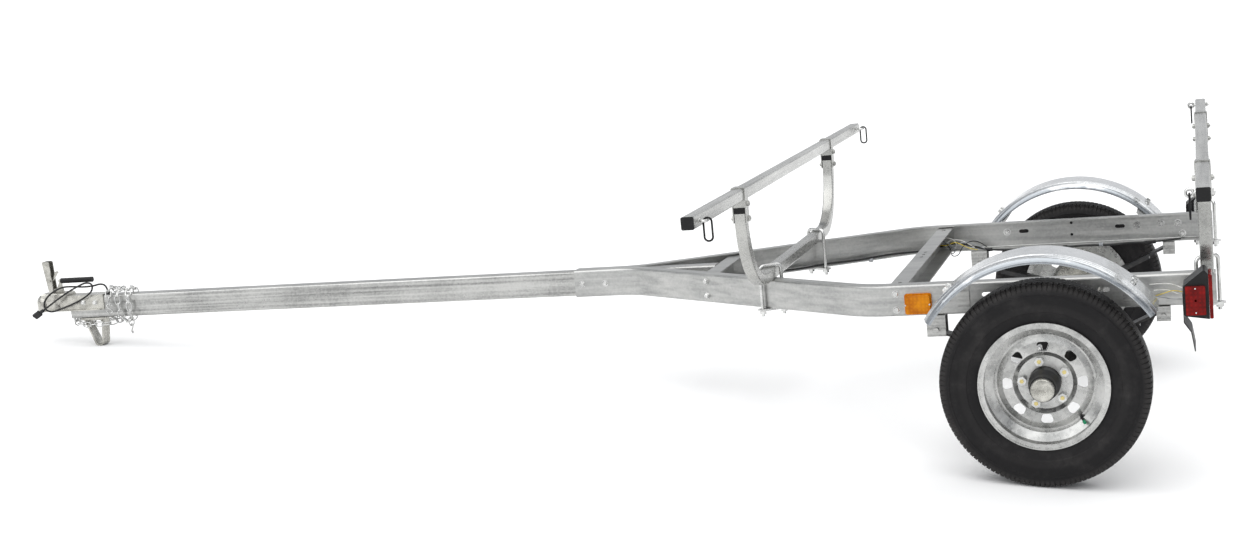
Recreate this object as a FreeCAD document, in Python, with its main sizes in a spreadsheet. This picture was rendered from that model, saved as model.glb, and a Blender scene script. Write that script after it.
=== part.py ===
import FreeCAD, Part
import math
import os
from types import SimpleNamespace

import Sketcher
from FreeCAD import Placement, Rotation, Vector

# Small galvanised boat trailer, parked nose down on its foot and its two wheels.
# Every piece is drawn level, with the origin at the axle's centre, X to the rear, Y to the right
# and Z up. The whole is then leaned forward until the foot and the tyres share the floor.
SIZES = {
    # tongue tube
    "tongue_width": 51.0,
    "tongue_height": 76.0,
    "tongue_wall": 3.2,
    "tongue_corner": 6.0,
    "tongue_top": 233.0,
    "tongue_front": -3300.0,
    # side rails, a channel bent in two places, measured on its outer face
    "rail_height": 84.0,
    "rail_flange": 38.0,
    "rail_wall": 3.5,
    "rail_bottom": 153.0,
    "rail_front": -1472.0,
    "rail_front_bend": -1284.0,
    "rail_rear_bend": -480.0,
    "rail_rear": 425.0,
    "rail_half_track": 545.0,
    "rail_front_radius": 180.0,
    "rail_rear_radius": 222.0,
    "rail_slot_length": 30.0,
    "rail_slot_width": 12.0,
    "rail_slot_pitch": 296.0,
    "rail_hole": 9.0,
    "rail_hole_pitch": 37.0,
    # cross-members, channels that close between the rails
    "cross_depth": 46.0,
    "cross_height": 70.0,
    "cross_wall": 3.5,
    "front_cross": -1020.0,
    "middle_cross": -413.0,
    "cross_slot_length": 26.0,
    "cross_slot_width": 10.0,
    # ball coupler
    "ball_diameter": 50.8,
    "ball_clearance": 0.8,
    "ball_x": -3411.0,
    "ball_z": 214.0,
    "coupler_neck": 75.0,
    "coupler_wall": 3.2,
    "coupler_top": 247.0,
    "coupler_bottom": 185.0,
    "coupler_rear": -3165.0,
    "coupler_flange": 9.0,
    # lift lever and gripped handle of the coupler
    "lever_width": 26.0,
    "lever_depth": 27.0,
    "lever_wall": 3.0,
    "lever_top": 355.0,
    "lever_base_x": -3384.0,
    "lever_lean": 13.0,
    "latch_thickness": 8.0,
    "latch_radius": 24.0,
    "grip_diameter": 18.0,
    "grip_length": 127.0,
    "grip_front": -3345.0,
    "grip_z": 286.0,
    "handle_diameter": 9.0,
    # support foot under the coupler
    "foot_width": 40.0,
    "foot_thickness": 5.0,
    "foot_bend": 14.0,
    "foot_low": 59.0,
    "foot_x": -3208.0,
    "foot_front_spread": 36.0,
    "foot_rear_spread": 12.0,
    "foot_channel_length": 98.0,
    "foot_channel_front": -3264.0,
    "foot_channel_height": 8.0,
    "foot_channel_wall": 4.0,
    # wheels and tyres
    "wheel_from_rail": 159.0,
    "tyre_height": 111.6,
    "tyre_width": 122.0,
    "tread_width": 96.0,
    "rim_seat": 304.8,
    "rim_lip_height": 11.6,
    "rim_width": 102.0,
    "rim_lip": 6.0,
    "rim_well": 262.0,
    "rim_sheet": 3.0,
    "disc_offset": 0.0,
    "window_count": 8,
    "window_circle": 188.0,
    "window_width": 38.0,
    "window_height": 24.0,
    "lug_circle": 114.3,
    "lug_count": 5,
    "lug_across": 21.0,
    "lug_length": 17.0,
    "lug_turn": 11.0,
    "hub_diameter": 72.0,
    "hub_flange": 142.0,
    "hub_flange_thickness": 9.0,
    "boot_diameter": 80.0,
    "boot_length": 84.0,
    "cap_diameter": 60.0,
    "cap_length": 14.0,
    "spindle_diameter": 25.4,
    "spindle_clearance": 0.05,
    # axle and springs
    "axle_beam": 40.0,
    "axle_past_rail": 70.0,
    "spring_inside_rail": 24.0,
    "spring_width": 44.0,
    "leaf_thickness": 6.5,
    "spring_flat_front": 48.0,
    "spring_flat_rear": 66.0,
    "spring_bend": 220.0,
    "front_eye_x": -288.0,
    "front_eye_z": 109.0,
    "eye_diameter": 26.0,
    "eye_bolt_diameter": 14.0,
    "rear_seat_x": 293.0,
    "rear_seat_z": 143.3,
    "hanger_wall": 5.0,
    "hanger_length": 50.0,
    "clamp_rod": 12.0,
    "clamp_plate": 8.0,
    # mudguards
    "fender_over_tyre": 77.0,
    "fender_from_rail": 69.0,
    "fender_width": 180.0,
    "fender_sheet": 2.0,
    "fender_lip": 22.0,
    "fender_bead": 26.0,
    "fender_step": 4.0,
    "fender_half_angle": 57.0,
    "fender_bolt_angle": 42.5,
    "fender_strap": 32.0,
    "fender_strap_thickness": 4.0,
    # load rack
    "bar_tube": 32.0,
    "bar_wall": 2.0,
    "bar_length": 2286.0,
    "bar_bottom": 500.0,
    "front_rack_x": -776.0,
    "rear_rack_x": 405.0,
    "front_post_past_rail": 70.0,
    "rear_post_past_rail": 100.0,
    "front_post_bend": 190.0,
    "rear_post_bend": 90.0,
    "post_top": 464.0,
    "post_cap": 16.0,
    "strap_width": 32.0,
    "strap_thickness": 3.0,
    "strap_drop": 96.0,
    "strap_bolt": 8.0,
    "tube_rod": 10.0,
    "tube_plate": 6.0,
    "tube_bolt_reach": 27.0,
    "front_bolt_reach": 17.0,
    "rear_bolt_reach": 25.5,
    "ring_wire": 5.0,
    "ring_width": 26.0,
    "ring_height": 62.0,
    "ring_from_end": 40.0,
    "eye_rod": 7.0,
    "eye_outer": 24.0,
    "bar_cap": 5.0,
    # lamps and plate bracket
    "marker_x": -331.0,
    "marker_length": 72.0,
    "marker_height": 56.0,
    "marker_z": 186.0,
    "marker_base": 6.0,
    "marker_lens": 16.0,
    "tail_front": 347.0,
    "tail_rear": 415.0,
    "tail_lens": 9.0,
    "tail_bottom": 156.0,
    "tail_top": 266.0,
    "tail_peak": 279.0,
    "tail_from_rail": 120.0,
    "tail_width": 85.0,
    "side_lens_height": 72.0,
    "side_lens_length": 47.0,
    "plate_bracket_thickness": 2.5,
    "plate_bracket_width": 118.0,
    "plate_bracket_low": 77.0,
    # safety chains
    "chain_wire": 4.8,
    "chain_inner_length": 26.0,
    "chain_slack": 0.9,
    "chain_half_width": 8.8,
    "chain_staple_x": -3291.0,
    "chain_staple_y": 14.0,
    "chain_staple_rod": 6.0,
    "seat_gap": 0.3,
}


class Size:
    """A measure that carries its value and the formula that features are bound to."""

    def __init__(self, value, text):
        self.value = float(value)
        self.text = text

    def __float__(self):
        return self.value

    def __add__(self, other):
        other = as_size(other)
        return Size(self.value + other.value, f"({self.text} + {other.text})")

    def __sub__(self, other):
        other = as_size(other)
        return Size(self.value - other.value, f"({self.text} - {other.text})")

    def __mul__(self, other):
        other = as_size(other)
        return Size(self.value * other.value, f"({self.text} * {other.text})")

    def __truediv__(self, other):
        other = as_size(other)
        return Size(self.value / other.value, f"({self.text} / {other.text})")

    def __neg__(self):
        return Size(-self.value, f"(0 - {self.text})")

    def __rsub__(self, other):
        return as_size(other) - self

    __radd__ = __add__
    __rmul__ = __mul__


def as_size(value):
    """A bare number as a measure of its own."""
    if isinstance(value, Size):
        return value
    return Size(value, f"({float(value):.6f})")


def sine(angle):
    return Size(math.sin(math.radians(angle.value)), f"sin({angle.text} * 1deg)")


def cosine(angle):
    return Size(math.cos(math.radians(angle.value)), f"cos({angle.text} * 1deg)")


def root(amount):
    return Size(math.sqrt(amount.value), f"sqrt({amount.text})")


doc = FreeCAD.newDocument("boat_trailer")
sheet = doc.addObject("Spreadsheet::Sheet", "sizes")
for row, (alias, amount) in enumerate(SIZES.items(), start=1):
    sheet.set(f"A{row}", alias)
    sheet.set(f"B{row}", str(amount))
    sheet.setAlias(f"B{row}", alias)
doc.recompute()
s = SimpleNamespace(**{name: Size(amount, f"sizes.{name}") for name, amount in SIZES.items()})
nodes = []


def new_body(name):
    """An empty body for one node, which may hold several solids."""
    body = doc.addObject("PartDesign::Body", name)
    body.Label = name
    body.AllowCompound = True
    nodes.append(body)
    return body


def origin_feature(body, role):
    return next(item for item in body.Origin.OriginFeatures if item.Role == role)


def new_sketch(body, role, offset=0.0):
    """A sketch on one of the body's own planes, moved along that plane's normal."""
    sketch = body.newObject("Sketcher::SketchObject", body.Name + "_sketch")
    sketch.AttachmentSupport = [(origin_feature(body, role), "")]
    sketch.MapMode = "FlatFace"
    sketch.setExpression("AttachmentOffset.Base.z", as_size(offset).text)
    return sketch


def fix_point(sketch, where, x, y):
    """Binds a point of the sketch to its two measures from the sketch's origin."""
    for kind, measure in (("DistanceX", as_size(x)), ("DistanceY", as_size(y))):
        index = sketch.addConstraint(Sketcher.Constraint(kind, -1, 1, where[0], where[1], measure.value))
        sketch.setExpression(f"Constraints[{index}]", measure.text)


def corner_arc(before, corner, after, radius):
    """The arc that rounds a corner, whether it turns left, and its two ends."""
    back = (before - corner).normalize()
    ahead = (after - corner).normalize()
    half = back.getAngle(ahead) / 2
    reach = radius / math.tan(half)
    centre = corner + (back + ahead).normalize() * (radius / math.sin(half))
    start = corner + back * reach
    end = corner + ahead * reach
    turns_left = back.cross(ahead).z < 0
    first, last = (start, end) if turns_left else (end, start)
    angles = [math.atan2(point.y - centre.y, point.x - centre.x) for point in (first, last)]
    if angles[1] < angles[0]:
        angles[1] += 2 * math.pi
    arc = Part.ArcOfCircle(Part.Circle(centre, Vector(0, 0, 1), radius), angles[0], angles[1])
    return arc, turns_left, start, end


def draw(sketch, corners, closed=True):
    """Straight sides through the corners, each corner (x, y) sharp or (x, y, radius) rounded."""
    places = [Vector(float(corner[0]), float(corner[1]), 0) for corner in corners]
    count = len(corners)
    starts = list(places)
    ends = list(places)
    arcs = {}
    for index, corner in enumerate(corners):
        if len(corner) == 3:
            around = (places[index - 1], places[index], places[(index + 1) % count])
            arc, turns_left, start, end = corner_arc(*around, float(corner[2]))
            arcs[index] = (sketch.addGeometry(arc, False), turns_left)
            ends[index] = start
            starts[index] = end
    sides = count if closed else count - 1
    lines = [
        sketch.addGeometry(Part.LineSegment(starts[index], ends[(index + 1) % count]), False)
        for index in range(sides)
    ]
    for index, corner in enumerate(corners):
        before = lines[index - 1] if closed or index > 0 else None
        after = lines[index] if index < sides else None
        if index not in arcs:
            if before is not None and after is not None:
                sketch.addConstraint(Sketcher.Constraint("Coincident", before, 2, after, 1))
            where = (after, 1) if after is not None else (before, 2)
            fix_point(sketch, where, corner[0], corner[1])
            continue
        arc, turns_left = arcs[index]
        first, last = (1, 2) if turns_left else (2, 1)
        point = sketch.addGeometry(Part.Point(places[index]), True)
        fix_point(sketch, (point, 1), corner[0], corner[1])
        sketch.addConstraint([
            Sketcher.Constraint("PointOnObject", point, 1, before),
            Sketcher.Constraint("PointOnObject", point, 1, after),
            Sketcher.Constraint("Tangent", before, 2, arc, first),
            Sketcher.Constraint("Tangent", after, 1, arc, last),
        ])
        radius = as_size(corner[2])
        bound = sketch.addConstraint(Sketcher.Constraint("Radius", arc, radius.value))
        sketch.setExpression(f"Constraints[{bound}]", radius.text)
    return sketch


def draw_box(sketch, x_range, y_range, radius=None):
    """A rectangle between two measures each way, with its corners sharp or rounded."""
    extra = () if radius is None else (radius,)
    low_x, high_x = x_range
    low_y, high_y = y_range
    corners = [(low_x, low_y), (high_x, low_y), (high_x, high_y), (low_x, high_y)]
    return draw(sketch, [corner + extra for corner in corners])


def draw_circle(sketch, x, y, diameter):
    diameter = as_size(diameter)
    circle = Part.Circle(Vector(float(x), float(y), 0), Vector(0, 0, 1), diameter.value / 2)
    index = sketch.addGeometry(circle, False)
    fix_point(sketch, (index, 3), x, y)
    bound = sketch.addConstraint(Sketcher.Constraint("Diameter", index, diameter.value))
    sketch.setExpression(f"Constraints[{bound}]", diameter.text)
    return sketch


def add_feature(body, kind, sketch, length=None, midplane=False, back=False):
    """A pad or pocket of the sketch, through a bound length."""
    feature = body.newObject("PartDesign::" + kind, body.Name + "_" + kind)
    feature.Profile = (sketch, [""])
    feature.AllowMultiFace = True
    feature.Midplane = midplane
    feature.Reversed = back
    feature.setExpression("Length", as_size(length).text)
    sketch.Visibility = False
    return feature


def pad(body, sketch, length, midplane=False, back=False):
    return add_feature(body, "Pad", sketch, length, midplane, back)


def pocket(body, sketch, length, midplane=False, back=False):
    return add_feature(body, "Pocket", sketch, length, midplane, back)


def turn(body, sketch, role="Y_Axis", angle=360.0, kind="Revolution", midplane=False):
    """The sketch turned about one of the body's own axes."""
    feature = body.newObject("PartDesign::" + kind, body.Name + "_" + kind)
    feature.Profile = (sketch, [""])
    feature.AllowMultiFace = True
    feature.ReferenceAxis = (origin_feature(body, role), [""])
    feature.Midplane = midplane
    feature.setExpression("Angle", as_size(angle).text)
    sketch.Visibility = False
    return feature


def repeat(body, feature, count, role="Y_Axis"):
    """The feature repeated evenly round an axis."""
    pattern = body.newObject("PartDesign::PolarPattern", body.Name + "_pattern")
    pattern.Originals = [feature]
    pattern.Axis = (origin_feature(body, role), [""])
    pattern.Angle = 360
    pattern.setExpression("Occurrences", as_size(count).text)
    body.Tip = pattern
    return pattern


def follow(body, profile, spine):
    """The profile swept along the spine sketch."""
    pipe = body.newObject("PartDesign::AdditivePipe", body.Name + "_pipe")
    pipe.Profile = (profile, [""])
    pipe.Spine = (spine, [""])
    profile.Visibility = False
    spine.Visibility = False
    return pipe


# Tongue: one square-cornered tube from the coupler back to the front cross-member.
tongue_bottom = s.tongue_top - s.tongue_height
tongue_half = s.tongue_width / 2


def make_tongue():
    body = new_body("tongue")
    section = new_sketch(body, "YZ_Plane", s.tongue_front)
    inner_half = tongue_half - s.tongue_wall
    heights = (tongue_bottom, s.tongue_top)
    inner_heights = (tongue_bottom + s.tongue_wall, s.tongue_top - s.tongue_wall)
    draw_box(section, (-tongue_half, tongue_half), heights, s.tongue_corner)
    draw_box(section, (-inner_half, inner_half), inner_heights, s.tongue_corner - s.tongue_wall)
    pad(body, section, s.front_cross - s.seat_gap - s.tongue_front)


# Side rails: channels open towards each other, close along the tongue at the front,
# running out at an angle and then straight back to the lamps.
rail_top = s.rail_bottom + s.rail_height
rail_middle = s.rail_bottom + s.rail_height / 2
rail_nose_y = tongue_half + s.rail_wall + s.seat_gap
rail_slope = (s.rail_half_track - rail_nose_y) / (s.rail_rear_bend - s.rail_front_bend)


def rail_y(x):
    """The outer face of a rail where it runs out at an angle."""
    return rail_nose_y + (x - s.rail_front_bend) * rail_slope


def make_rail(name, side):
    body = new_body(name)
    spine = new_sketch(body, "XY_Plane")
    draw(spine, [
        (s.rail_front, side * rail_nose_y),
        (s.rail_front_bend, side * rail_nose_y, s.rail_front_radius),
        (s.rail_rear_bend, side * s.rail_half_track, s.rail_rear_radius),
        (s.rail_rear, side * s.rail_half_track),
    ], closed=False)
    profile = new_sketch(body, "YZ_Plane", s.rail_front)
    outer = side * rail_nose_y
    web = side * (rail_nose_y - s.rail_wall)
    edge = side * (rail_nose_y - s.rail_flange)
    low, high = s.rail_bottom, rail_top
    draw(profile, [
        (outer, low, s.rail_wall * 2),
        (outer, high, s.rail_wall * 2),
        (edge, high),
        (edge, high - s.rail_wall),
        (web, high - s.rail_wall, s.rail_wall),
        (web, low + s.rail_wall, s.rail_wall),
        (edge, low + s.rail_wall),
        (edge, low),
    ])
    follow(body, profile, spine)
    trim = new_sketch(body, "XY_Plane", rail_middle)
    middle_edge = side * s.seat_gap
    draw(trim, [
        (s.rail_front - 1, middle_edge),
        (s.rail_front_bend + s.rail_flange * 2, middle_edge),
        (s.rail_front_bend + s.rail_flange * 2, middle_edge - side * s.rail_flange),
        (s.rail_front - 1, middle_edge - side * s.rail_flange),
    ])
    pocket(body, trim, s.rail_height * 2, midplane=True)
    holes = new_sketch(body, "XZ_Plane", -side * s.rail_half_track)
    half_slot = s.rail_slot_length / 2
    half_width = s.rail_slot_width / 2
    for end in (-1, 1):
        middle = end * s.rail_slot_pitch / 2
        across = (middle - half_slot, middle + half_slot)
        upright = (rail_middle + 8 - half_width, rail_middle + 8 + half_width)
        draw_box(holes, across, upright, half_width - 0.1)
        draw_circle(holes, 0, rail_middle + 8 + end * s.rail_hole_pitch / 2, s.rail_hole)
    pocket(body, holes, s.rail_wall * 3, midplane=True)


# Cross-members: channels open to the rear, with end walls bolted to the rails' webs.
cross_bottom = s.rail_bottom + (s.rail_height - s.cross_height) / 2


def make_cross_member(name, front, front_end, rear_end):
    """A channel whose ends stop at the rails, front_end and rear_end from the middle."""
    body = new_body(name)
    rear = front + s.cross_depth
    plan = new_sketch(body, "XY_Plane", cross_bottom)
    draw(plan, [(front, -front_end), (rear, -rear_end), (rear, rear_end), (front, front_end)])
    pad(body, plan, s.cross_height)
    hollow = new_sketch(body, "XY_Plane", cross_bottom + s.cross_wall)
    wall = s.cross_wall * 1.4
    draw(hollow, [
        (front + s.cross_wall, wall - front_end),
        (rear + s.cross_wall, wall - rear_end),
        (rear + s.cross_wall, rear_end - wall),
        (front + s.cross_wall, front_end - wall),
    ])
    pocket(body, hollow, s.cross_height - s.cross_wall * 2, back=True)
    return body


def cut_top_slots(body, front, end):
    """Two long slots near the ends of the top flange and three short ones in its middle."""
    slots = new_sketch(body, "XY_Plane", cross_bottom + s.cross_height)
    middle = front + s.cross_depth / 2
    half_width = s.cross_slot_width / 2
    for place, length in ((-0.86, 26), (0.86, 26), (-0.08, 14), (0, 14), (0.08, 14)):
        half = s.cross_slot_length * (length / 26) / 2
        centre = end * place
        across = (middle - half_width, middle + half_width)
        draw_box(slots, across, (centre - half, centre + half), half_width - 0.2)
    pocket(body, slots, s.cross_wall * 2, midplane=True)


def make_cross_members():
    thick = s.rail_wall * 1.19 + s.seat_gap
    front_end = rail_y(s.front_cross) - thick
    rear_end = rail_y(s.front_cross + s.cross_depth) - thick
    make_cross_member("front_cross_member", s.front_cross, front_end, rear_end)
    straight_end = s.rail_half_track - s.rail_wall - s.seat_gap
    middle = make_cross_member("middle_cross_member", s.middle_cross, straight_end, straight_end)
    cut_top_slots(middle, s.middle_cross, straight_end)


# Ball coupler: a stamped hood that straps over the tongue's end, with a domed nose over the ball.
coupler_half = tongue_half + s.coupler_wall + s.seat_gap
coupler_seat = s.tongue_top + s.seat_gap + s.coupler_wall


def round_edges(body, radius, chosen):
    """Rounds the edges of the body's last feature that the test picks."""
    doc.recompute()
    base = body.Tip
    names = [f"Edge{index}" for index, edge in enumerate(base.Shape.Edges, start=1) if chosen(edge.BoundBox)]
    fillet = body.newObject("PartDesign::Fillet", body.Name + "_fillet")
    fillet.Base = (base, names)
    fillet.setExpression("Radius", as_size(radius).text)
    return fillet


def make_coupler():
    body = new_body("coupler")
    reach = s.ball_diameter / 2 + s.ball_clearance
    dome = reach + s.coupler_wall
    neck = s.ball_x + s.coupler_neck
    low, high = s.coupler_bottom, s.coupler_top
    hood = new_sketch(body, "XY_Plane", low)
    draw(hood, [
        (s.tongue_front - 8, coupler_half),
        (neck, coupler_half, 20),
        (s.ball_x + dome * 0.6, dome * 0.8, 20),
        (s.ball_x, dome * 0.8),
        (s.ball_x, dome * -0.8),
        (s.ball_x + dome * 0.6, dome * -0.8, 20),
        (neck, -coupler_half, 20),
        (s.tongue_front - 8, -coupler_half),
    ])
    pad(body, hood, high - low)
    round_edges(body, s.coupler_wall * 2.5, lambda box: box.ZMin > float(high) - 0.1)
    saddle = new_sketch(body, "XY_Plane", low)
    draw_box(saddle, (s.tongue_front - 10, s.coupler_rear), (-coupler_half, coupler_half))
    pad(body, saddle, coupler_seat - low)
    nose = new_sketch(body, "XZ_Plane")
    nose.setExpression("AttachmentOffset.Base.x", s.ball_x.text)
    draw(nose, [
        (0, low),
        (dome, low),
        (dome, s.ball_z + dome, dome - 0.1),
        (0, s.ball_z + dome),
    ])
    dome_turn = body.newObject("PartDesign::Revolution", "coupler_dome")
    dome_turn.Profile = (nose, [""])
    dome_turn.ReferenceAxis = (nose, ["V_Axis"])
    dome_turn.Angle = 360
    rim = new_sketch(body, "XY_Plane", low)
    edge = coupler_half + s.coupler_flange
    lip = dome + s.coupler_flange * 0.6
    draw(rim, [
        (s.coupler_rear - 12, edge, 8),
        (s.tongue_front - 8, edge, 30),
        (neck, lip, 30),
        (s.ball_x - lip, lip, lip * 0.97),
        (s.ball_x - lip, -lip, lip * 0.97),
        (neck, -lip, 30),
        (s.tongue_front - 8, -edge, 30),
        (s.coupler_rear - 12, -edge, 8),
    ])
    pad(body, rim, s.coupler_wall)
    tunnel = new_sketch(body, "YZ_Plane", s.tongue_front - s.seat_gap)
    inside = tongue_half + s.seat_gap
    draw_box(tunnel, (-inside, inside), (low - 1, s.tongue_top + s.seat_gap))
    pocket(body, tunnel, s.coupler_rear - s.tongue_front + 20, back=True)
    cave = new_sketch(body, "XY_Plane", low - 1)
    half_cave = coupler_half - s.coupler_wall * 3.4
    draw_box(cave, (s.ball_x + dome, s.tongue_front + 1), (-half_cave, half_cave), 6)
    pocket(body, cave, s.tongue_top + s.seat_gap - low + 1, back=True)
    bolts = new_sketch(body, "XZ_Plane")
    for place in (0.42, 0.76):
        centre = s.tongue_front + (s.coupler_rear - s.tongue_front) * place
        draw_circle(bolts, centre, s.ball_z - s.ball_clearance * place * 6, s.rail_hole)
    pocket(body, bolts, coupler_half * 4, midplane=True)
    socket = new_sketch(body, "XZ_Plane")
    socket.setExpression("AttachmentOffset.Base.x", s.ball_x.text)
    draw(socket, [
        (0, low - 1),
        (reach, low - 1),
        (reach, s.ball_z + reach, reach - 0.1),
        (0, s.ball_z + reach),
    ])
    groove = body.newObject("PartDesign::Groove", "coupler_socket")
    groove.Profile = (socket, [""])
    groove.ReferenceAxis = (socket, ["V_Axis"])
    groove.Angle = 360


def make_lever():
    body = new_body("coupler_lever")
    base = s.coupler_top + s.seat_gap
    foot = s.lever_base_x
    head = s.lever_base_x - s.lever_lean
    waist = s.lever_depth * 0.64
    side = new_sketch(body, "XZ_Plane")
    draw(side, [
        (foot, base, 3),
        (foot + waist, base, 3),
        (head + s.lever_depth, s.lever_top, 5),
        (head, s.lever_top, 3),
    ])
    pad(body, side, s.lever_width, midplane=True)
    hollow = new_sketch(body, "XZ_Plane")
    shift = s.lever_wall
    floor = base + s.lever_wall * 4
    draw(hollow, [
        (foot + shift, floor),
        (foot + s.lever_depth + shift, floor),
        (head + s.lever_depth + shift, s.lever_top + 1),
        (head + shift, s.lever_top + 1),
    ])
    pocket(body, hollow, s.lever_width - s.lever_wall * 2, midplane=True)
    pin = new_sketch(body, "XZ_Plane")
    pin_x = foot + s.lever_depth / 3
    pin_z = base + (s.lever_top - base) * 0.38
    draw_circle(pin, pin_x, pin_z, s.strap_bolt)
    pad(body, pin, s.lever_width + s.lever_wall * 2, midplane=True)
    trigger = new_sketch(body, "XZ_Plane")
    tip_x = pin_x + s.lever_depth * 0.8
    tip_z = pin_z + s.lever_depth
    thin = s.lever_wall
    draw(trigger, [
        (pin_x, pin_z),
        (pin_x + thin, pin_z - thin),
        (tip_x + thin, tip_z - thin),
        (tip_x, tip_z),
    ])
    pad(body, trigger, s.strap_bolt, midplane=True)
    knob = new_sketch(body, "XZ_Plane")
    draw_circle(knob, tip_x + thin / 2, tip_z, s.strap_bolt * 1.1)
    pad(body, knob, s.strap_bolt * 1.1, midplane=True)


def make_latch():
    body = new_body("coupler_latch")
    base = s.coupler_top + s.seat_gap
    front = s.lever_base_x + s.lever_depth * 0.64 + 2
    plate = new_sketch(body, "XZ_Plane")
    draw(plate, [
        (front, base),
        (front + s.latch_radius * 1.3, base),
        (front + s.latch_radius * 1.2, base + s.latch_radius * 0.7, 10),
        (s.grip_front + 7, base + s.latch_radius * 0.8),
        (s.grip_front + 7, s.grip_z + 6),
        (s.grip_front - 2, s.grip_z + 6, 4),
        (s.grip_front - 2, s.grip_z - 8),
    ])
    pad(body, plate, s.latch_thickness, midplane=True)
    rod = new_sketch(body, "YZ_Plane", s.grip_front - 2)
    draw_circle(rod, 0, s.grip_z, s.handle_diameter)
    pad(body, rod, s.grip_length + 4)
    grip = new_body("handle_grip")
    section = new_sketch(grip, "YZ_Plane", s.grip_front + 7 + s.seat_gap)
    draw_circle(section, 0, s.grip_z, s.grip_diameter)
    pad(grip, section, s.grip_length - 4)
    bore = new_sketch(grip, "YZ_Plane", s.grip_front)
    draw_circle(bore, 0, s.grip_z, s.handle_diameter + s.seat_gap * 2)
    pocket(grip, bore, s.grip_length + 2.5, back=True)


# Support foot: a strap bent to a narrow V, held in a short channel under the tongue.
foot_ceiling = tongue_bottom - s.seat_gap - s.foot_channel_wall


def foot_corners():
    """The strap's outer line, from the top of its front leg round to the top of its rear leg."""
    left = s.foot_x - s.foot_bend
    right = s.foot_x + s.foot_bend
    return [
        (left - s.foot_front_spread, foot_ceiling - s.seat_gap),
        (left, s.foot_low, s.foot_bend * 0.9),
        (right, s.foot_low, s.foot_bend * 0.9),
        (right + s.foot_rear_spread, foot_ceiling - s.seat_gap),
    ]


def make_foot():
    body = new_body("foot_strap")
    outline = new_sketch(body, "XZ_Plane")
    outer = foot_corners()
    inner_low = s.foot_low + s.foot_thickness
    inner_bend = s.foot_bend * 0.9 - s.foot_thickness
    inner = [
        (outer[3][0] - s.foot_thickness, outer[3][1]),
        (outer[2][0] - s.foot_thickness, inner_low, inner_bend),
        (outer[1][0] + s.foot_thickness, inner_low, inner_bend),
        (outer[0][0] + s.foot_thickness, outer[0][1]),
    ]
    draw(outline, outer + inner)
    pad(body, outline, s.foot_width, midplane=True)
    channel = new_body("foot_channel")
    section = new_sketch(channel, "YZ_Plane", s.foot_channel_front)
    half = s.foot_width / 2 + s.foot_channel_wall + s.seat_gap
    top = tongue_bottom - s.seat_gap
    low = top - s.foot_channel_height
    draw(section, [
        (-half, top),
        (half, top),
        (half, low),
        (half - s.foot_channel_wall, low),
        (half - s.foot_channel_wall, foot_ceiling),
        (s.foot_channel_wall - half, foot_ceiling),
        (s.foot_channel_wall - half, low),
        (-half, low),
    ])
    pad(channel, section, s.foot_channel_length)


# Wheels: a pressed rim and disc, a ribbed tyre, a hub with its cap, and five nuts.
wheel_y = s.rail_half_track + s.wheel_from_rail
axle_end = s.rail_half_track + s.axle_past_rail
spring_y = s.rail_half_track - s.spring_inside_rail
rim_half = s.rim_width / 2


def wheel_profile(body, side, places):
    """A section of the wheel, each corner given from the wheel's middle plane and its axis."""
    sketch = new_sketch(body, "YZ_Plane")
    corners = [(side * (wheel_y + place[0]),) + tuple(place[1:]) for place in places]
    return draw(sketch, corners)


def make_rim(name, side):
    body = new_body(name)
    lip = s.rim_seat / 2 + s.rim_lip_height
    seat = s.rim_seat / 2
    well = s.rim_well / 2
    sheet_metal = s.rim_sheet
    outside = [
        (-rim_half - s.rim_lip, lip),
        (-rim_half, lip),
        (-rim_half, seat),
        (-rim_half * 0.62, seat),
        (-rim_half * 0.45, well),
        (rim_half * 0.3, well),
        (rim_half * 0.5, seat),
        (rim_half, seat),
        (rim_half, lip),
        (rim_half + s.rim_lip, lip),
    ]
    inside = [
        (rim_half + s.rim_lip, lip - sheet_metal),
        (rim_half + sheet_metal, lip - sheet_metal),
        (rim_half + sheet_metal, seat - sheet_metal),
        (rim_half * 0.5 + 1, seat - sheet_metal),
        (rim_half * 0.3 + 1, well - sheet_metal),
        (-rim_half * 0.45 - 1, well - sheet_metal),
        (-rim_half * 0.62 - 1, seat - sheet_metal),
        (-rim_half - sheet_metal, seat - sheet_metal),
        (-rim_half - sheet_metal, lip - sheet_metal),
        (-rim_half - s.rim_lip, lip - sheet_metal),
    ]
    turn(body, wheel_profile(body, side, outside + inside))
    bore = s.boot_diameter / 2 + 1
    face = s.disc_offset
    rise = s.window_height * 0.3
    window = s.window_circle / 2
    disc = [
        (face, bore),
        (face, s.lug_circle / 2 + 12),
        (face + rise, window - 14),
        (face + rise, window + 12),
        (face + 2, well - 10),
        (face + 2, well - 1),
        (face - 2, well - 1),
        (face - 2, well - 13),
        (face + rise - 4, window + 10),
        (face + rise - 4, window - 12),
        (face - 4, s.lug_circle / 2 + 14),
        (face - 4, bore),
    ]
    turn(body, wheel_profile(body, side, disc))
    window_sketch = new_sketch(body, "XZ_Plane", -side * wheel_y)
    half = s.window_width / 2
    tall = s.window_height / 2
    draw(window_sketch, [
        (half * -0.55, window - tall, 6),
        (half * 0.55, window - tall, 6),
        (half, window + tall, 9),
        (-half, window + tall, 9),
    ])
    cut = pocket(body, window_sketch, s.rim_width * 0.6, midplane=True)
    repeat(body, cut, s.window_count)


def make_lug_nuts(name, side):
    body = new_body(name)
    sketch = new_sketch(body, "XZ_Plane", -side * (wheel_y + s.disc_offset + s.seat_gap))
    across = s.lug_across / 2
    corners = []
    for index in range(6):
        angle = math.radians(60 * index)
        reach = across / math.cos(math.pi / 6)
        across_x = reach * math.cos(angle) - sine(s.lug_turn) * s.lug_circle / 2
        across_z = reach * math.sin(angle) + cosine(s.lug_turn) * s.lug_circle / 2
        corners.append((across_x, across_z))
    draw(sketch, corners)
    nut = pad(body, sketch, s.lug_length, back=side > 0)
    repeat(body, nut, s.lug_count)


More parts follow.
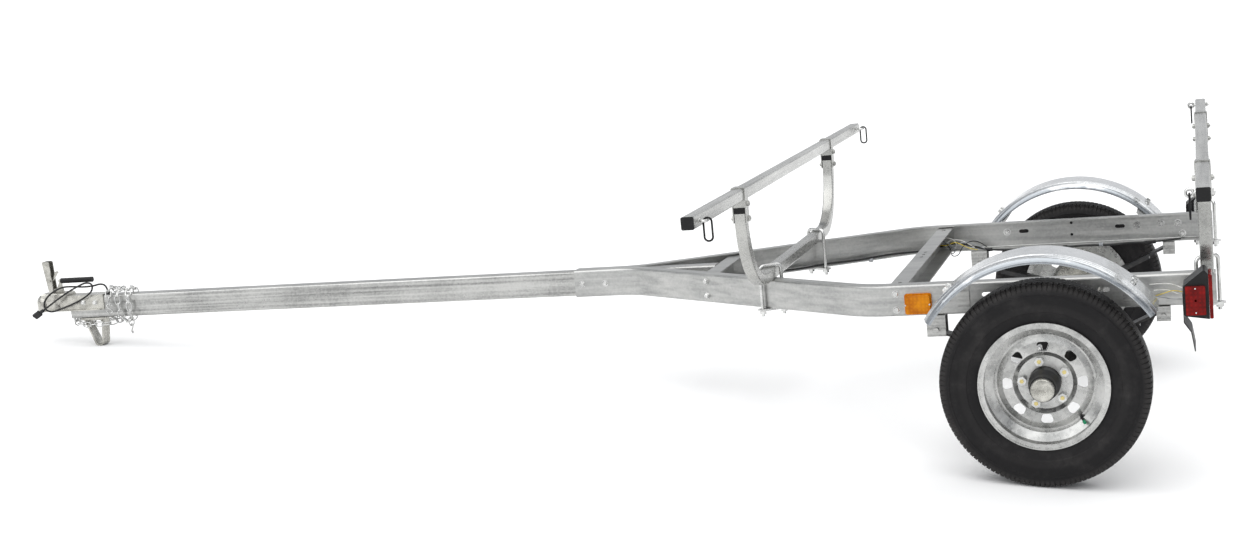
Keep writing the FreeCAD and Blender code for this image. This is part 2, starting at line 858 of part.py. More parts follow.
tyre_radius = s.rim_seat / 2 + s.tyre_height


def make_tyre(name, side):
    body = new_body(name)
    bead = s.rim_seat / 2 + s.seat_gap
    above_lip = s.rim_seat / 2 + s.rim_lip_height + 1
    outer = tyre_radius
    half = s.tyre_width / 2
    tread = s.tread_width / 2
    inside_bead = rim_half - s.seat_gap
    wall = outer - above_lip
    right_side = [
        (inside_bead - 10, bead),
        (inside_bead, bead),
        (inside_bead, above_lip),
        (half, above_lip + wall * 0.36, wall * 0.27),
        (half - 3, outer - wall * 0.17, wall * 0.2),
        (tread, outer, wall * 0.09),
    ]
    left_side = [(-corner[0],) + corner[1:] for corner in reversed(right_side)]
    inside = [
        (inside_bead * -1 + 10, bead + 14),
        (9 - half, above_lip + wall * 0.32, wall * 0.2),
        (16 - half, outer - wall * 0.14, wall * 0.12),
        (half - 16, outer - wall * 0.14, wall * 0.12),
        (half - 9, above_lip + wall * 0.32, wall * 0.2),
        (inside_bead - 10, bead + 14),
    ]
    turn(body, wheel_profile(body, side, right_side + left_side + inside))


def make_hub(name, side):
    body = new_body(name + "_hub")
    back = s.disc_offset - 4 - s.seat_gap
    bore = s.spindle_diameter / 2 + s.spindle_clearance
    cap = s.cap_diameter / 2
    tip = s.boot_length + s.cap_length
    inner_end = wheel_y - axle_end - 25
    turn(body, wheel_profile(body, side, [
        (-inner_end, bore),
        (-inner_end, s.hub_diameter / 2),
        (back - s.hub_flange_thickness, s.hub_diameter / 2),
        (back - s.hub_flange_thickness, s.hub_flange / 2),
        (back, s.hub_flange / 2),
        (back, cap),
        (tip, cap, 5),
        (tip, 0),
        (20, 0),
        (20, bore),
    ]))
    boot = new_body(name + "_hub_boot")
    shoulder = s.boot_diameter / 2
    turn(boot, wheel_profile(boot, side, [
        (s.seat_gap, cap + s.seat_gap),
        (s.seat_gap, shoulder),
        (s.boot_length * 0.4, shoulder, 10),
        (s.boot_length * 0.75, cap + 4, 10),
        (s.boot_length, cap + 3, 2),
        (s.boot_length, cap + s.seat_gap),
    ]))


# Axle: a square beam with a turned spindle in each end.
def make_axle():
    body = new_body("axle")
    half = s.axle_beam / 2
    section = new_sketch(body, "XZ_Plane")
    draw_box(section, (-half, half), (-half, half), 4)
    pad(body, section, axle_end * 2, midplane=True)
    spindle = new_sketch(body, "XZ_Plane")
    draw_circle(spindle, 0, 0, s.spindle_diameter)
    pad(body, spindle, (wheel_y + 18) * 2, midplane=True)


# Leaf springs: three stacked leaves, flat over the axle with arms that rise both ways. The top one is
# rolled round the front bolt and slides on the rear one.
leaf_count = 3
spring_floor = s.axle_beam / 2 + s.seat_gap
spring_top = spring_floor + s.leaf_thickness * leaf_count


def draw_leaf(sketch, depth, share):
    """A leaf whose top lies depth under the spring's, over a share of each arm's length."""
    top_line = []
    low_line = []
    arms = (
        (-1, s.spring_flat_front, -s.front_eye_x, s.front_eye_z),
        (1, s.spring_flat_rear, s.rear_seat_x - 1, s.rear_seat_z),
    )
    for side, flat, end, height in arms:
        run = end - flat
        rise = height - spring_top
        slant = root(run * run + rise * rise)
        for line, below in ((top_line, depth), (low_line, depth + s.leaf_thickness)):
            turn_x = flat + (slant - run) / rise * below
            bend = (side * turn_x, spring_top - below, s.spring_bend + below)
            tip_x = flat + run * share + rise / slant * below
            tip = (side * tip_x, spring_top + rise * share - run / slant * below)
            line.extend([tip, bend] if side < 0 else [bend, tip])
    draw(sketch, top_line + low_line[::-1])


def make_spring(name, side):
    body = new_body(name)
    for level, share in enumerate((1.0, 0.72, 0.4)):
        leaf = new_sketch(body, "XZ_Plane", -side * spring_y)
        draw_leaf(leaf, s.leaf_thickness * level, share)
        pad(body, leaf, s.spring_width, midplane=True)
    eye = new_sketch(body, "XZ_Plane", -side * spring_y)
    draw_circle(eye, s.front_eye_x, s.front_eye_z + 4, s.eye_diameter)
    pad(body, eye, s.spring_width, midplane=True)
    bore = new_sketch(body, "XZ_Plane", -side * spring_y)
    draw_circle(bore, s.front_eye_x, s.front_eye_z + 4, s.eye_bolt_diameter + s.seat_gap * 2)
    pocket(body, bore, s.spring_width * 2, midplane=True)


def make_hangers(name, x, roof, bolt_z, length, drop):
    """A bracket with two ears under each rail, and the bolt between its ears."""
    body = new_body(name)
    half = s.spring_width / 2 + s.seat_gap
    outer = half + s.hanger_wall
    top = s.rail_bottom - s.seat_gap
    low = bolt_z - drop
    for side in (-1, 1):
        middle = side * spring_y
        section = new_sketch(body, "YZ_Plane", x - length / 2)
        draw(section, [
            (middle - outer, top),
            (middle + outer, top),
            (middle + outer, low, s.hanger_wall * 0.6),
            (middle + half, low),
            (middle + half, roof),
            (middle - half, roof),
            (middle - half, low),
            (middle - outer, low, s.hanger_wall * 0.6),
        ])
        pad(body, section, length)
        bolt = new_sketch(body, "XZ_Plane", -middle)
        draw_circle(bolt, x, bolt_z, s.eye_bolt_diameter)
        pad(body, bolt, outer * 2 + 18, midplane=True)


# Rods bent from round bar or wire: square U-bolts, eye bolts, rings and links.
def rod_wire(points, bend, closed=False):
    """Straight runs through the points, joined by tangent arcs; bend is one radius or one a point."""
    count = len(points)
    bends = bend if isinstance(bend, (list, tuple)) else [bend] * count
    starts = list(points)
    ends = list(points)
    arcs = {}
    inner = range(count) if closed else range(1, count - 1)
    for index in inner:
        corner = points[index]
        back = (points[index - 1] - corner).normalize()
        ahead = (points[(index + 1) % count] - corner).normalize()
        half = back.getAngle(ahead) / 2
        reach = bends[index] / math.tan(half)
        towards = (back + ahead).normalize()
        middle = corner + towards * (bends[index] / math.sin(half) - bends[index])
        ends[index] = corner + back * reach
        starts[index] = corner + ahead * reach
        arcs[index] = Part.Arc(ends[index], middle, starts[index]).toShape()
    edges = []
    for index in range(count if closed else count - 1):
        after = (index + 1) % count
        if (ends[after] - starts[index]).Length > 0.01:
            edges.append(Part.makeLine(starts[index], ends[after]))
        if after in arcs:
            edges.append(arcs[after])
    return Part.Wire(Part.__sortEdges__(edges))


def bent_rod(points, bend, diameter, closed=False):
    """A round rod along straight runs and tangent arcs."""
    wire = rod_wire(points, bend, closed)
    first = wire.OrderedEdges[0]
    start = first.valueAt(first.FirstParameter)
    along = first.tangentAt(first.FirstParameter)
    circle = Part.Wire(Part.Circle(start, along, diameter / 2).toShape())
    return wire.makePipeShell([circle], True, True)


def cylinder(start, axis, radius, length):
    return Part.makeCylinder(radius, length, start, axis)


def hex_nut(base, axis, across, height):
    """A six-sided nut standing on its base along the axis."""
    reach = across / 2 / math.cos(math.pi / 6)
    turned = Rotation(Vector(0, 0, 1), axis)
    angles = [math.pi / 3 * index for index in range(6)]
    corners = [
        base + turned.multVec(Vector(reach * math.cos(angle), reach * math.sin(angle), 0)) for angle in angles
    ]
    face = Part.Face(Part.makePolygon(corners + corners[:1]))
    return face.extrude(Vector(axis) * height)


def add_shape(name, solids):
    """A node made of finished solids."""
    item = doc.addObject("Part::Feature", name)
    item.Label = name
    item.Shape = solids[0] if len(solids) == 1 else Part.makeCompound(solids)
    nodes.append(item)
    return item


UP = Vector(0, 0, 1)


def clamp_bolt(centre, reach, rod, arch, plate_top, plate):
    """A square U-bolt over a tube, with the plate and nuts below that draw it down."""
    legs = [centre + reach, centre - reach]
    low = plate_top - plate * 3.6
    points = [
        Vector(legs[0].x, legs[0].y, low),
        Vector(legs[0].x, legs[0].y, arch),
        Vector(legs[1].x, legs[1].y, arch),
        Vector(legs[1].x, legs[1].y, low),
    ]
    solid = bent_rod(points, rod * 1.4, rod)
    across = Vector(-reach.y, reach.x, 0).normalize() * rod * 1.1
    end = reach + Vector(reach).normalize() * rod * 1.1
    corners = [centre + end + across, centre + end - across, centre - end - across, centre - end + across]
    corners = [Vector(corner.x, corner.y, plate_top - plate) for corner in corners]
    face = Part.Face(Part.makePolygon(corners + corners[:1]))
    pieces = [face.extrude(UP * plate)]
    for leg in legs:
        nut_base = Vector(leg.x, leg.y, plate_top - plate)
        pieces.append(hex_nut(nut_base, Vector(0, 0, -1), rod * 1.7, rod * 0.85))
    return solid.fuse(pieces).removeSplitter()


def make_tube_bolts(name, x, y, along, across):
    """One U-bolt each side, its legs on opposite sides of both the tube and the rail."""
    rod = float(s.tube_rod)
    arch = float(rail_top + s.seat_gap + s.bar_tube + s.seat_gap) + rod / 2
    plate_top = float(s.rail_bottom - s.seat_gap)
    solids = []
    for side in (-1, 1):
        centre = Vector(x, side * y, 0)
        reach = Vector(float(along), -side * float(across), 0)
        solids.append(clamp_bolt(centre, reach, rod, arch, plate_top, float(s.tube_plate)))
    add_shape(name, solids)


# Load rack: a bent tube across the rails and a straight bar above it, front and rear.
tube_axis_z = rail_top + s.seat_gap + s.bar_tube / 2
tube_half = s.bar_tube / 2
front_post_y = s.rail_half_track + s.front_post_past_rail
rear_post_y = s.rail_half_track + s.rear_post_past_rail
ring_y = s.bar_length / 2 - s.ring_from_end
post_bolt_z = s.post_top - 14


def make_lower_tube(name, x, post_y, bend):
    body = new_body(name)
    spine = new_sketch(body, "YZ_Plane", x)
    draw(spine, [
        (-post_y, s.post_top),
        (-post_y, tube_axis_z, bend),
        (post_y, tube_axis_z, bend),
        (post_y, s.post_top),
    ], closed=False)
    profile = new_sketch(body, "XY_Plane", s.post_top)
    inner = tube_half - s.bar_wall
    draw_box(profile, (x - tube_half, x + tube_half), (-post_y - tube_half, tube_half - post_y), 4)
    draw_box(profile, (x - inner, x + inner), (-post_y - inner, inner - post_y), 4 - s.bar_wall)
    follow(body, profile, spine)
    holes = new_sketch(body, "YZ_Plane", x)
    for side in (-1, 1):
        draw_circle(holes, side * post_y, post_bolt_z, s.strap_bolt + s.seat_gap * 2)
    pocket(body, holes, s.bar_tube * 2, midplane=True)


def make_bar(name, x):
    body = new_body(name)
    section = new_sketch(body, "XZ_Plane")
    inner = tube_half - s.bar_wall
    middle = s.bar_bottom + tube_half
    draw_box(section, (x - tube_half, x + tube_half), (s.bar_bottom, s.bar_bottom + s.bar_tube), 4)
    draw_box(section, (x - inner, x + inner), (middle - inner, middle + inner), 4 - s.bar_wall)
    pad(body, section, s.bar_length, midplane=True)
    holes = new_sketch(body, "YZ_Plane", x)
    for side in (-1, 1):
        draw_circle(holes, side * ring_y, middle, s.eye_rod + s.seat_gap * 2)
    pocket(body, holes, s.bar_tube * 2, midplane=True)


def make_bar_clamps(name, x, post_y, nut_side):
    """Straps over the bar and down the posts, with a spacer and two cross bolts each."""
    body = new_body(name)
    inner = tube_half + s.seat_gap
    outer = inner + s.strap_thickness
    top = s.bar_bottom + s.bar_tube + s.seat_gap
    low = top + s.strap_thickness - s.strap_drop
    gap_top = s.bar_bottom - s.seat_gap
    gap_low = s.post_top + s.post_cap + s.seat_gap
    middle = (gap_top + gap_low) / 2
    for side in (-1, 1):
        place = -side * post_y
        strap = new_sketch(body, "XZ_Plane", place)
        draw(strap, [
            (x - outer, low),
            (x - outer, top + s.strap_thickness, 5),
            (x + outer, top + s.strap_thickness, 5),
            (x + outer, low),
            (x + inner, low),
            (x + inner, top, 2),
            (x - inner, top, 2),
            (x - inner, low),
        ])
        pad(body, strap, s.strap_width, midplane=True)
        spacer = new_sketch(body, "XZ_Plane", place)
        draw_box(spacer, (x - outer + 1, x + outer - 1), (gap_low, gap_top))
        pad(body, spacer, s.strap_width - 6, midplane=True)
        bolts = new_sketch(body, "YZ_Plane", x - outer - s.strap_bolt)
        for height in (middle, post_bolt_z):
            draw_circle(bolts, side * post_y, height, s.strap_bolt)
        pad(body, bolts, outer * 2 + s.strap_bolt * 2)
        for height in (middle, post_bolt_z):
            nut = new_sketch(body, "YZ_Plane", x + nut_side * outer)
            draw_circle(nut, side * post_y, height, s.strap_bolt * 1.8)
            pad(body, nut, s.strap_bolt * 0.8, back=nut_side < 0)
            head = new_sketch(body, "YZ_Plane", x - nut_side * outer)
            draw_circle(head, side * post_y, height, s.strap_bolt * 1.8)
            pad(body, head, s.strap_bolt * 0.6, back=nut_side > 0)


def make_caps():
    """Black plugs in the tops of the posts and the ends of the bars."""
    posts = new_body("post_caps")
    plug = tube_half - s.bar_wall - s.seat_gap
    for x, post_y in ((s.front_rack_x, front_post_y), (s.rear_rack_x, rear_post_y)):
        for side in (-1, 1):
            head = new_sketch(posts, "XY_Plane", s.post_top)
            y = side * post_y
            draw_box(head, (x - tube_half, x + tube_half), (y - tube_half, y + tube_half), 4)
            pad(posts, head, s.post_cap)
            tail = new_sketch(posts, "XY_Plane", s.post_top)
            draw_box(tail, (x - plug, x + plug), (y - plug, y + plug), 2)
            pad(posts, tail, s.bar_cap, back=True)
    bars = new_body("bar_caps")
    middle = s.bar_bottom + tube_half
    for x in (s.front_rack_x, s.rear_rack_x):
        for side in (-1, 1):
            end = -side * s.bar_length / 2
            head = new_sketch(bars, "XZ_Plane", end)
            draw_box(head, (x - tube_half, x + tube_half), (middle - tube_half, middle + tube_half), 4)
            pad(bars, head, s.bar_cap, back=side > 0)
            tail = new_sketch(bars, "XZ_Plane", end)
            draw_box(tail, (x - plug, x + plug), (middle - plug, middle + plug), 2)
            pad(bars, tail, s.bar_cap * 3, back=side < 0)


def make_rings():
    """An eye bolt through each bar end, with a long ring hanging in it."""
    rod = float(s.eye_rod)
    around = float(s.eye_outer) / 2 - rod / 2
    wire = float(s.ring_wire)
    half = float(s.ring_width) / 2 - wire / 2
    drop = float(s.ring_height) - wire
    middle = float(s.bar_bottom + tube_half)
    gap = float(s.seat_gap)
    eyes = []
    rings = []
    racks = ((float(s.front_rack_x), 1), (float(s.rear_rack_x), -1))
    for x, facing in racks:
        face = x + facing * float(tube_half)
        for side in (-1, 1):
            y = side * float(ring_y)
            centre = Vector(face + facing * (around + rod / 2 + 2), y, middle)
            outwards = Vector(facing, 0, 0)
            level = facing > 0
            eye = Part.makeTorus(around, rod / 2, centre, UP if level else Vector(0, 1, 0))
            back = x - facing * (float(tube_half) + rod * 1.6)
            shank_length = abs(centre.x - back) - around
            shank = cylinder(Vector(back, y, middle), outwards, rod / 2, shank_length)
            nut = hex_nut(Vector(x - facing * (float(tube_half) + gap), y, middle), -outwards, rod * 1.8, rod)
            collar = cylinder(Vector(face + facing * gap, y, middle), outwards, rod * 0.9, 1.5)
            eyes.append(eye.fuse([shank, nut, collar]).removeSplitter())
            if level:
                held = centre + outwards * around
                top = held + UP * (rod / 2 + gap + wire / 2)
                wide = Vector(1, 0, 0)
            else:
                held = centre - UP * around
                top = held + UP * (rod / 2 + gap + wire / 2)
                wide = Vector(0, 1, 0)
            near = top - wide * half
            far = top + wide * half
            corners = [near, far, far - UP * drop, near - UP * drop]
            rings.append(bent_rod(corners, half * 0.96, wire, closed=True))
    add_shape("eye_bolts", eyes)
    add_shape("tie_rings", rings)


# Mudguards: rolled over the tyre about the axle, with a bead and a turned-down lip.
fender_radius = tyre_radius + s.fender_over_tyre
fender_under = fender_radius - s.fender_sheet


def make_fender(name, side):
    body = new_body(name)
    profile = new_sketch(body, "YZ_Plane")
    middle = s.rail_half_track + s.fender_from_rail + s.fender_width / 2
    half = s.fender_width / 2
    bead = half - s.fender_bead
    slope = bead + 5
    sheet_metal = s.fender_sheet
    step = s.fender_step
    top = fender_radius
    lip = top - s.fender_lip
    right_half = [
        (bead, top, 4),
        (slope, top - step, 4),
        (half, top - step, 16),
        (half, lip),
        (half - sheet_metal, lip),
        (half - sheet_metal, top - step - sheet_metal, 14),
        (slope - sheet_metal, top - step - sheet_metal, 4),
        (bead - sheet_metal, top - sheet_metal, 4),
    ]
    left_half = [(-corner[0],) + corner[1:] for corner in reversed(right_half)]
    corners = right_half + left_half
    draw(profile, [(side * (middle + corner[0]),) + corner[1:] for corner in corners])
    turn(body, profile, angle=s.fender_half_angle * 2, midplane=True)


def make_fender_brackets(name, side):
    """Two straps below the mudguard's inner lip, each with a riser under its top and a foot on the rail."""
    body = new_body(name)
    wall = s.rail_half_track + s.seat_gap
    angle = s.fender_bolt_angle
    half = s.fender_strap / 2
    seat = fender_under - s.seat_gap * 2
    strap_top = fender_radius - s.fender_lip - 2
    strap_low = strap_top - s.fender_strap_thickness
    inner = s.fender_from_rail + s.fender_bead * 1.5
    reach = s.fender_from_rail + s.fender_width / 2 + half

    def block(end, low, high, start, length):
        """A block across the mudguard between two distances from the axle."""
        sketch = new_sketch(body, "XZ_Plane", -side * (s.rail_half_track + start))
        corners = []
        for radius, offset in ((high, -half), (high, half), (low, half), (low, -half)):
            corners.append((
                end * (radius * sine(angle) + offset * cosine(angle)),
                radius * cosine(angle) - offset * sine(angle),
            ))
        draw(sketch, corners)
        pad(body, sketch, length, back=side > 0)

    for end in (-1, 1):
        block(end, strap_low, strap_top, s.seat_gap, reach)
        block(end, strap_low + 1, seat, inner, reach - inner)
        foot = new_sketch(body, "XZ_Plane", -side * wall)
        centre = end * strap_low * sine(angle)
        top = strap_low * cosine(angle)
        draw_box(foot, (centre - half, centre + half), (rail_middle - 26, top + 2), 3)
        pad(body, foot, s.fender_strap_thickness, back=side > 0)


def make_spring_clamps():
    """Two U-bolts over each spring, and the plate under the beam that they draw up."""
    rod = float(s.clamp_rod)
    beam = float(s.axle_beam) / 2
    half = float(s.spring_width) / 2 + rod / 2 + float(s.seat_gap)
    arch = float(spring_top) + rod / 2 + 4
    plate_top = -beam - float(s.seat_gap)
    plate = float(s.clamp_plate)
    solids = []
    for side in (-1, 1):
        middle = side * float(spring_y)
        pieces = []
        for x in (-1, 1):
            place = x * (beam + rod / 2 + float(s.seat_gap))
            legs = [(place, middle - half), (place, middle + half)]
            low = plate_top - plate - rod * 1.3
            points = [Vector(*legs[0], low), Vector(*legs[0], arch)]
            points += [Vector(*legs[1], arch), Vector(*legs[1], low)]
            pieces.append(bent_rod(points, rod * 0.9, rod))
            for leg in legs:
                pieces.append(hex_nut(Vector(*leg, plate_top - plate), Vector(0, 0, -1), rod * 1.6, rod * 0.8))
        length = (beam + rod * 1.8) * 2
        width = (half + rod) * 2
        base = Part.makeBox(length, width, plate, Vector(-length / 2, middle - width / 2, plate_top - plate))
        solids.append(base.fuse(pieces).removeSplitter())
    add_shape("spring_clamps", solids)


# Lamps: amber markers on the rails, and box lamps with red lenses behind the wheels.
def make_markers():
    body = new_body("marker_lamps")
    half = s.marker_length / 2
    tall = s.marker_height / 2
    for side in (-1, 1):
        face = s.rail_half_track + s.seat_gap
        base = new_sketch(body, "XZ_Plane", -side * face)
        across = (s.marker_x - half, s.marker_x + half)
        draw_box(base, across, (s.marker_z - tall, s.marker_z + tall), 6)
        pad(body, base, s.marker_base, back=side > 0)
        lens = new_sketch(body, "XZ_Plane", -side * (face + s.marker_base))
        inset = s.marker_base / 2
        draw_box(
            lens,
            (across[0] + inset, across[1] - inset),
            (s.marker_z - tall + inset, s.marker_z + tall - inset),
            8,
        )
        pad(body, lens, s.marker_lens, back=side > 0)


tail_inner = s.rail_half_track + s.tail_from_rail
tail_outer = tail_inner + s.tail_width


def make_tail_lamps():
    housings = new_body("tail_housings")
    lenses = new_body("tail_lenses")
    width = s.tail_width
    back = s.tail_rear - s.tail_lens
    lens_low = s.tail_bottom + (s.tail_top - s.tail_bottom) * 0.11
    for side in (-1, 1):
        start = -side * tail_inner
        box = new_sketch(housings, "XZ_Plane", start)
        draw(box, [
            (s.tail_front, lens_low - 3, 4),
            (s.tail_front, lens_low + s.side_lens_height, 4),
            (back - s.tail_lens, s.tail_peak, 6),
            (back, s.tail_top + 1),
            (back, s.tail_bottom),
        ])
        pad(housings, box, width, back=side > 0)
        rear = new_sketch(lenses, "XZ_Plane", start)
        draw_box(rear, (back + s.seat_gap, s.tail_rear), (s.tail_bottom + 1, s.tail_top), 3)
        pad(lenses, rear, width, back=side > 0)
        flank = new_sketch(lenses, "XZ_Plane", -side * (tail_outer + s.seat_gap))
        front = s.tail_front + 4
        draw_box(flank, (front, front + s.side_lens_length), (lens_low, lens_low + s.side_lens_height), 3)
        pad(lenses, flank, s.tail_lens * 0.8, back=side > 0)
    brackets = new_body("tail_brackets")
    for side in (-1, 1):
        plan = new_sketch(brackets, "XY_Plane", rail_middle - 20)
        wall = s.hanger_wall * 0.6
        near = side * (s.rail_half_track + s.seat_gap)
        far = side * (tail_inner - s.seat_gap)
        front = s.rear_rack_x - s.bar_tube / 2 - 1
        end = s.tail_rear - s.tail_lens - 2
        draw(plan, [
            (front, far),
            (front, near),
            (end, near),
            (end, far),
            (end - wall, far),
            (end - wall, near + side * wall),
            (front + wall, near + side * wall),
            (front + wall, far),
        ])
        pad(brackets, plan, 40)


def make_plate_bracket():
    """A flat bar that hangs the number plate from the left lamp, with a kink at half height."""
    body = new_body("plate_bracket")
    side = new_sketch(body, "XZ_Plane", tail_outer)
    face = s.tail_front - s.seat_gap
    thick = s.plate_bracket_thickness
    low = s.plate_bracket_low
    kink = s.tail_bottom - 6
    upper = s.tail_bottom + s.side_lens_height * 0.9
    outer = [
        (face, upper),
        (face, kink, 8),
        (face + 16, kink - 25, 8),
        (face + 23, low),
    ]
    inner = [
        (face + 23 - thick, low),
        (face + 16 - thick, kink - 25, 8),
        (face - thick, kink - 1, 8),
        (face - thick, upper),
    ]
    draw(side, outer + inner)
    pad(body, side, s.plate_bracket_width, back=True)
    slots = new_sketch(body, "YZ_Plane", face)
    for place in (0.2, 0.8):
        middle = -tail_outer + s.plate_bracket_width * place
        draw_box(slots, (middle - 10, middle + 10), (low + 16, low + 23), 3.3)
    pocket(body, slots, s.plate_bracket_width, midplane=True)


# Wiring: one limp lead from a grommet on the tongue, draped over the coupler, with a flat plug.
WIRE_DIAMETER = 6.0
WIRE_ROUTE = [
    (-3157, -6, 242),
    (-3159, -7, 262),
    (-3178, -10, 271),
    (-3208, -13, 264),
    (-3248, -16, 263),
    (-3288, -17, 267),
    (-3324, -20, 267),
    (-3350, -34, 256),
    (-3371, -46, 240),
    (-3385, -53, 216),
    (-3375, -57, 194),
    (-3347, -58, 188),
    (-3300, -56, 202),
    (-3250, -54, 218),
    (-3212, -51, 236),
    (-3190, -46, 254),
    (-3192, -39, 276),
    (-3220, -34, 281),
    (-3252, -38, 269),
    (-3286, -46, 253),
    (-3326, -56, 230),
    (-3352, -64, 213),
    (-3376, -70, 198),
]


def route_bends(points):
    """The largest arc that the two runs beside each point allow."""
    bends = [0.0] * len(points)
    for index in range(1, len(points) - 1):
        back = points[index - 1] - points[index]
        ahead = points[index + 1] - points[index]
        turned = math.pi - back.getAngle(ahead)
        bends[index] = 0.45 * min(back.Length, ahead.Length) / math.tan(turned / 2)
    return bends


def make_wiring():
    points = [Vector(*place) for place in WIRE_ROUTE]
    bends = route_bends(points)
    print("wire bend radii:", " ".join(f"{bend:.0f}" for bend in bends[1:-1]))
    wire = rod_wire(points, bends)
    cord = bent_rod(points, bends, WIRE_DIAMETER)
    section = math.pi * WIRE_DIAMETER ** 2 / 4
    print(f"wire length {wire.Length:.1f} mm, volume ratio {cord.Volume / (section * wire.Length):.4f}")
    add_shape("wiring_lead", [cord])
    along = (points[-1] - points[-2]).normalize()
    turned = Rotation(Vector(1, 0, 0), along)
    boot = Part.makeBox(14, 9, 8, Vector(0, -4.5, -4))
    blade = Part.makeBox(26, 20, 10, Vector(14, -10, -5))
    plug = boot.fuse(blade).removeSplitter()
    plug.Placement = Placement(points[-1], turned)
    add_shape("wiring_plug", [plug])
    gland_start = Vector(points[0].x, points[0].y, float(s.tongue_top + s.seat_gap))
    gland_length = points[0].z - gland_start.z - float(s.seat_gap)
    gland = Part.makeCone(WIRE_DIAMETER * 1.2, WIRE_DIAMETER * 0.8, gland_length, gland_start)
    add_shape("wiring_grommet", [gland])


# Safety chains: welded links from a staple under the tongue, wrapped round it for parking.
def flat_rod(corners, wire, closed):
    """A six-sided rod along a flat path, mitred at its corners, with an edge of the section inwards."""
    count = len(corners)
    rings = []
    for index, corner in enumerate(corners):
        before = corners[index - 1] if closed or index > 0 else corner * 2 - corners[1]
        after = corners[(index + 1) % count] if closed or index < count - 1 else corner * 2 - before
        back = (corner - before).normalize()
        ahead = (after - corner).normalize()
        sideways = Vector(back.y + ahead.y, -back.x - ahead.x, 0).normalize()
        mitre = sideways / math.sqrt((1 + back.dot(ahead)) / 2)
        rings.append([
            corner + (mitre * math.cos(turned) + Vector(0, 0, math.sin(turned))) * (wire / 2)
            for turned in (math.pi / 3 * edge for edge in range(6))
        ])
    outlines = [] if closed else [rings[0], rings[-1]]
    for index in range(count if closed else count - 1):
        ring = rings[index]
        following = rings[(index + 1) % count]
        for edge in range(6):
            after = (edge + 1) % 6
            outlines.append([ring[edge], ring[after], following[after], following[edge]])
    faces = [Part.Face(Part.makePolygon(outline + outline[:1])) for outline in outlines]
    return Part.Solid(Part.Shell(faces))


def chain_link(wire, half_length, half_width):
    corners = []
    for index in range(8):
        turned = math.radians(22.5 + 45 * index)
        reach = half_width / math.cos(math.radians(22.5))
        straight = math.copysign(half_length - half_width, math.cos(turned))
        corners.append(Vector(straight + reach * math.cos(turned), reach * math.sin(turned), 0))
    return flat_rod(corners, wire, closed=True)


def chain_hook(wire, half_length, half_width):
    """An S-hook, open on one side at each end."""
    one_end = [(0.45, -1.05), (0.8, -1.0), (1.0, -0.4), (1.0, 0.4), (0.8, 1.0), (0.4, 1.05)]
    corners = [Vector(along * half_length, across * half_width, 0) for along, across in one_end]
    return flat_rod([corner * -1 for corner in reversed(corners)] + corners, wire, closed=False)


def wrapped(start, end, first_x, last_x, half_y, half_z):
    """Places round the tongue between two angles, in degrees from its right side."""
    middle = float(s.tongue_top - s.tongue_height / 2)
    steps = max(2, round(abs(end - start) / 22.5))
    places = []
    for step in range(steps + 1):
        share = step / steps
        angle = math.radians(start + (end - start) * share)
        across = math.copysign(abs(math.cos(angle)) ** 0.76, math.cos(angle))
        height = math.copysign(abs(math.sin(angle)) ** 0.76, math.sin(angle))
        places.append(Vector(first_x + (last_x - first_x) * share, half_y * across, middle + half_z * height))
    return places


def lay_chain(places):
    """Links a pitch apart along a smooth line through the places, each a quarter turn from the last."""
    wire = float(s.chain_wire)
    inner = float(s.chain_inner_length)
    half_width = float(s.chain_half_width)
    line = Part.BSplineCurve()
    line.interpolate(places)
    joints = [places[0]]
    for place in line.discretize(20000):
        if (place - joints[-1]).Length >= inner - float(s.chain_slack):
            joints.append(place)
    link = chain_link(wire, (inner + wire) / 2, half_width)
    hook = chain_hook(wire, (inner + wire) / 2, half_width)
    solids = []
    roll = 90.0
    for index in range(len(joints) - 1):
        along = (joints[index + 1] - joints[index]).normalize()
        centre = (joints[index] + joints[index + 1]) / 2
        outwards = Vector(0, centre.y, centre.z - float(s.tongue_top - s.tongue_height / 2))
        across = along.cross(outwards).normalize()
        upright = Rotation(along, across, along.cross(across), "XZY")
        rolled = upright.multiply(Rotation(Vector(1, 0, 0), roll))
        solid = (hook if index == len(joints) - 2 else link).copy()
        solid.Placement = Placement(centre, rolled)
        solids.append(solid)
        roll += 99.0 if index < 5 else 90.0
    return solids


def make_chains():
    x = float(s.chain_staple_x)
    y = float(s.chain_staple_y)
    rod = float(s.chain_staple_rod)
    low = float(tongue_bottom) - rod * 2
    top = float(tongue_bottom - s.seat_gap)
    clear = float(s.foot_width) / 2 + 16
    start = x - (rod + float(s.chain_slack)) / 2
    half_y = float(tongue_half) + 18
    half_z = float(s.tongue_height) / 2 + 18
    near = [Vector(start, -y, low), Vector(x + 18, -y - 13, low - 6), Vector(x + 62, -clear, low - 10)]
    near += [Vector(x + 100, -clear - 1, low - 8), Vector(x + 132, -clear + 4, low - 10)]
    near += wrapped(256, 900, x + 160, x + 232, half_y, half_z)
    near += [Vector(x + 235, -half_y - 1, low + 14), Vector(x + 234, -half_y, low - 14)]
    near += [Vector(x + 233, -half_y, low - 44)]
    far = [Vector(start, y, low), Vector(x + 18, y + 13, low - 6), Vector(x + 62, clear, low - 10)]
    far += [Vector(x + 96, clear + 3, low - 9)]
    far += wrapped(-36, 170, x + 128, x + 158, half_y + 3, half_z + 3)
    far += [Vector(x + 158, -half_y - 4, low + 30)]
    solids = lay_chain(near) + lay_chain(far)
    for side in (-1, 1):
        middle = side * y
        legs = [
            Vector(x, middle - 8, top),
            Vector(x, middle - 8, low),
            Vector(x, middle + 8, low),
            Vector(x, middle + 8, top),
        ]
        solids.append(bent_rod(legs, rod * 0.8, rod))
    add_shape("safety_chains", solids)


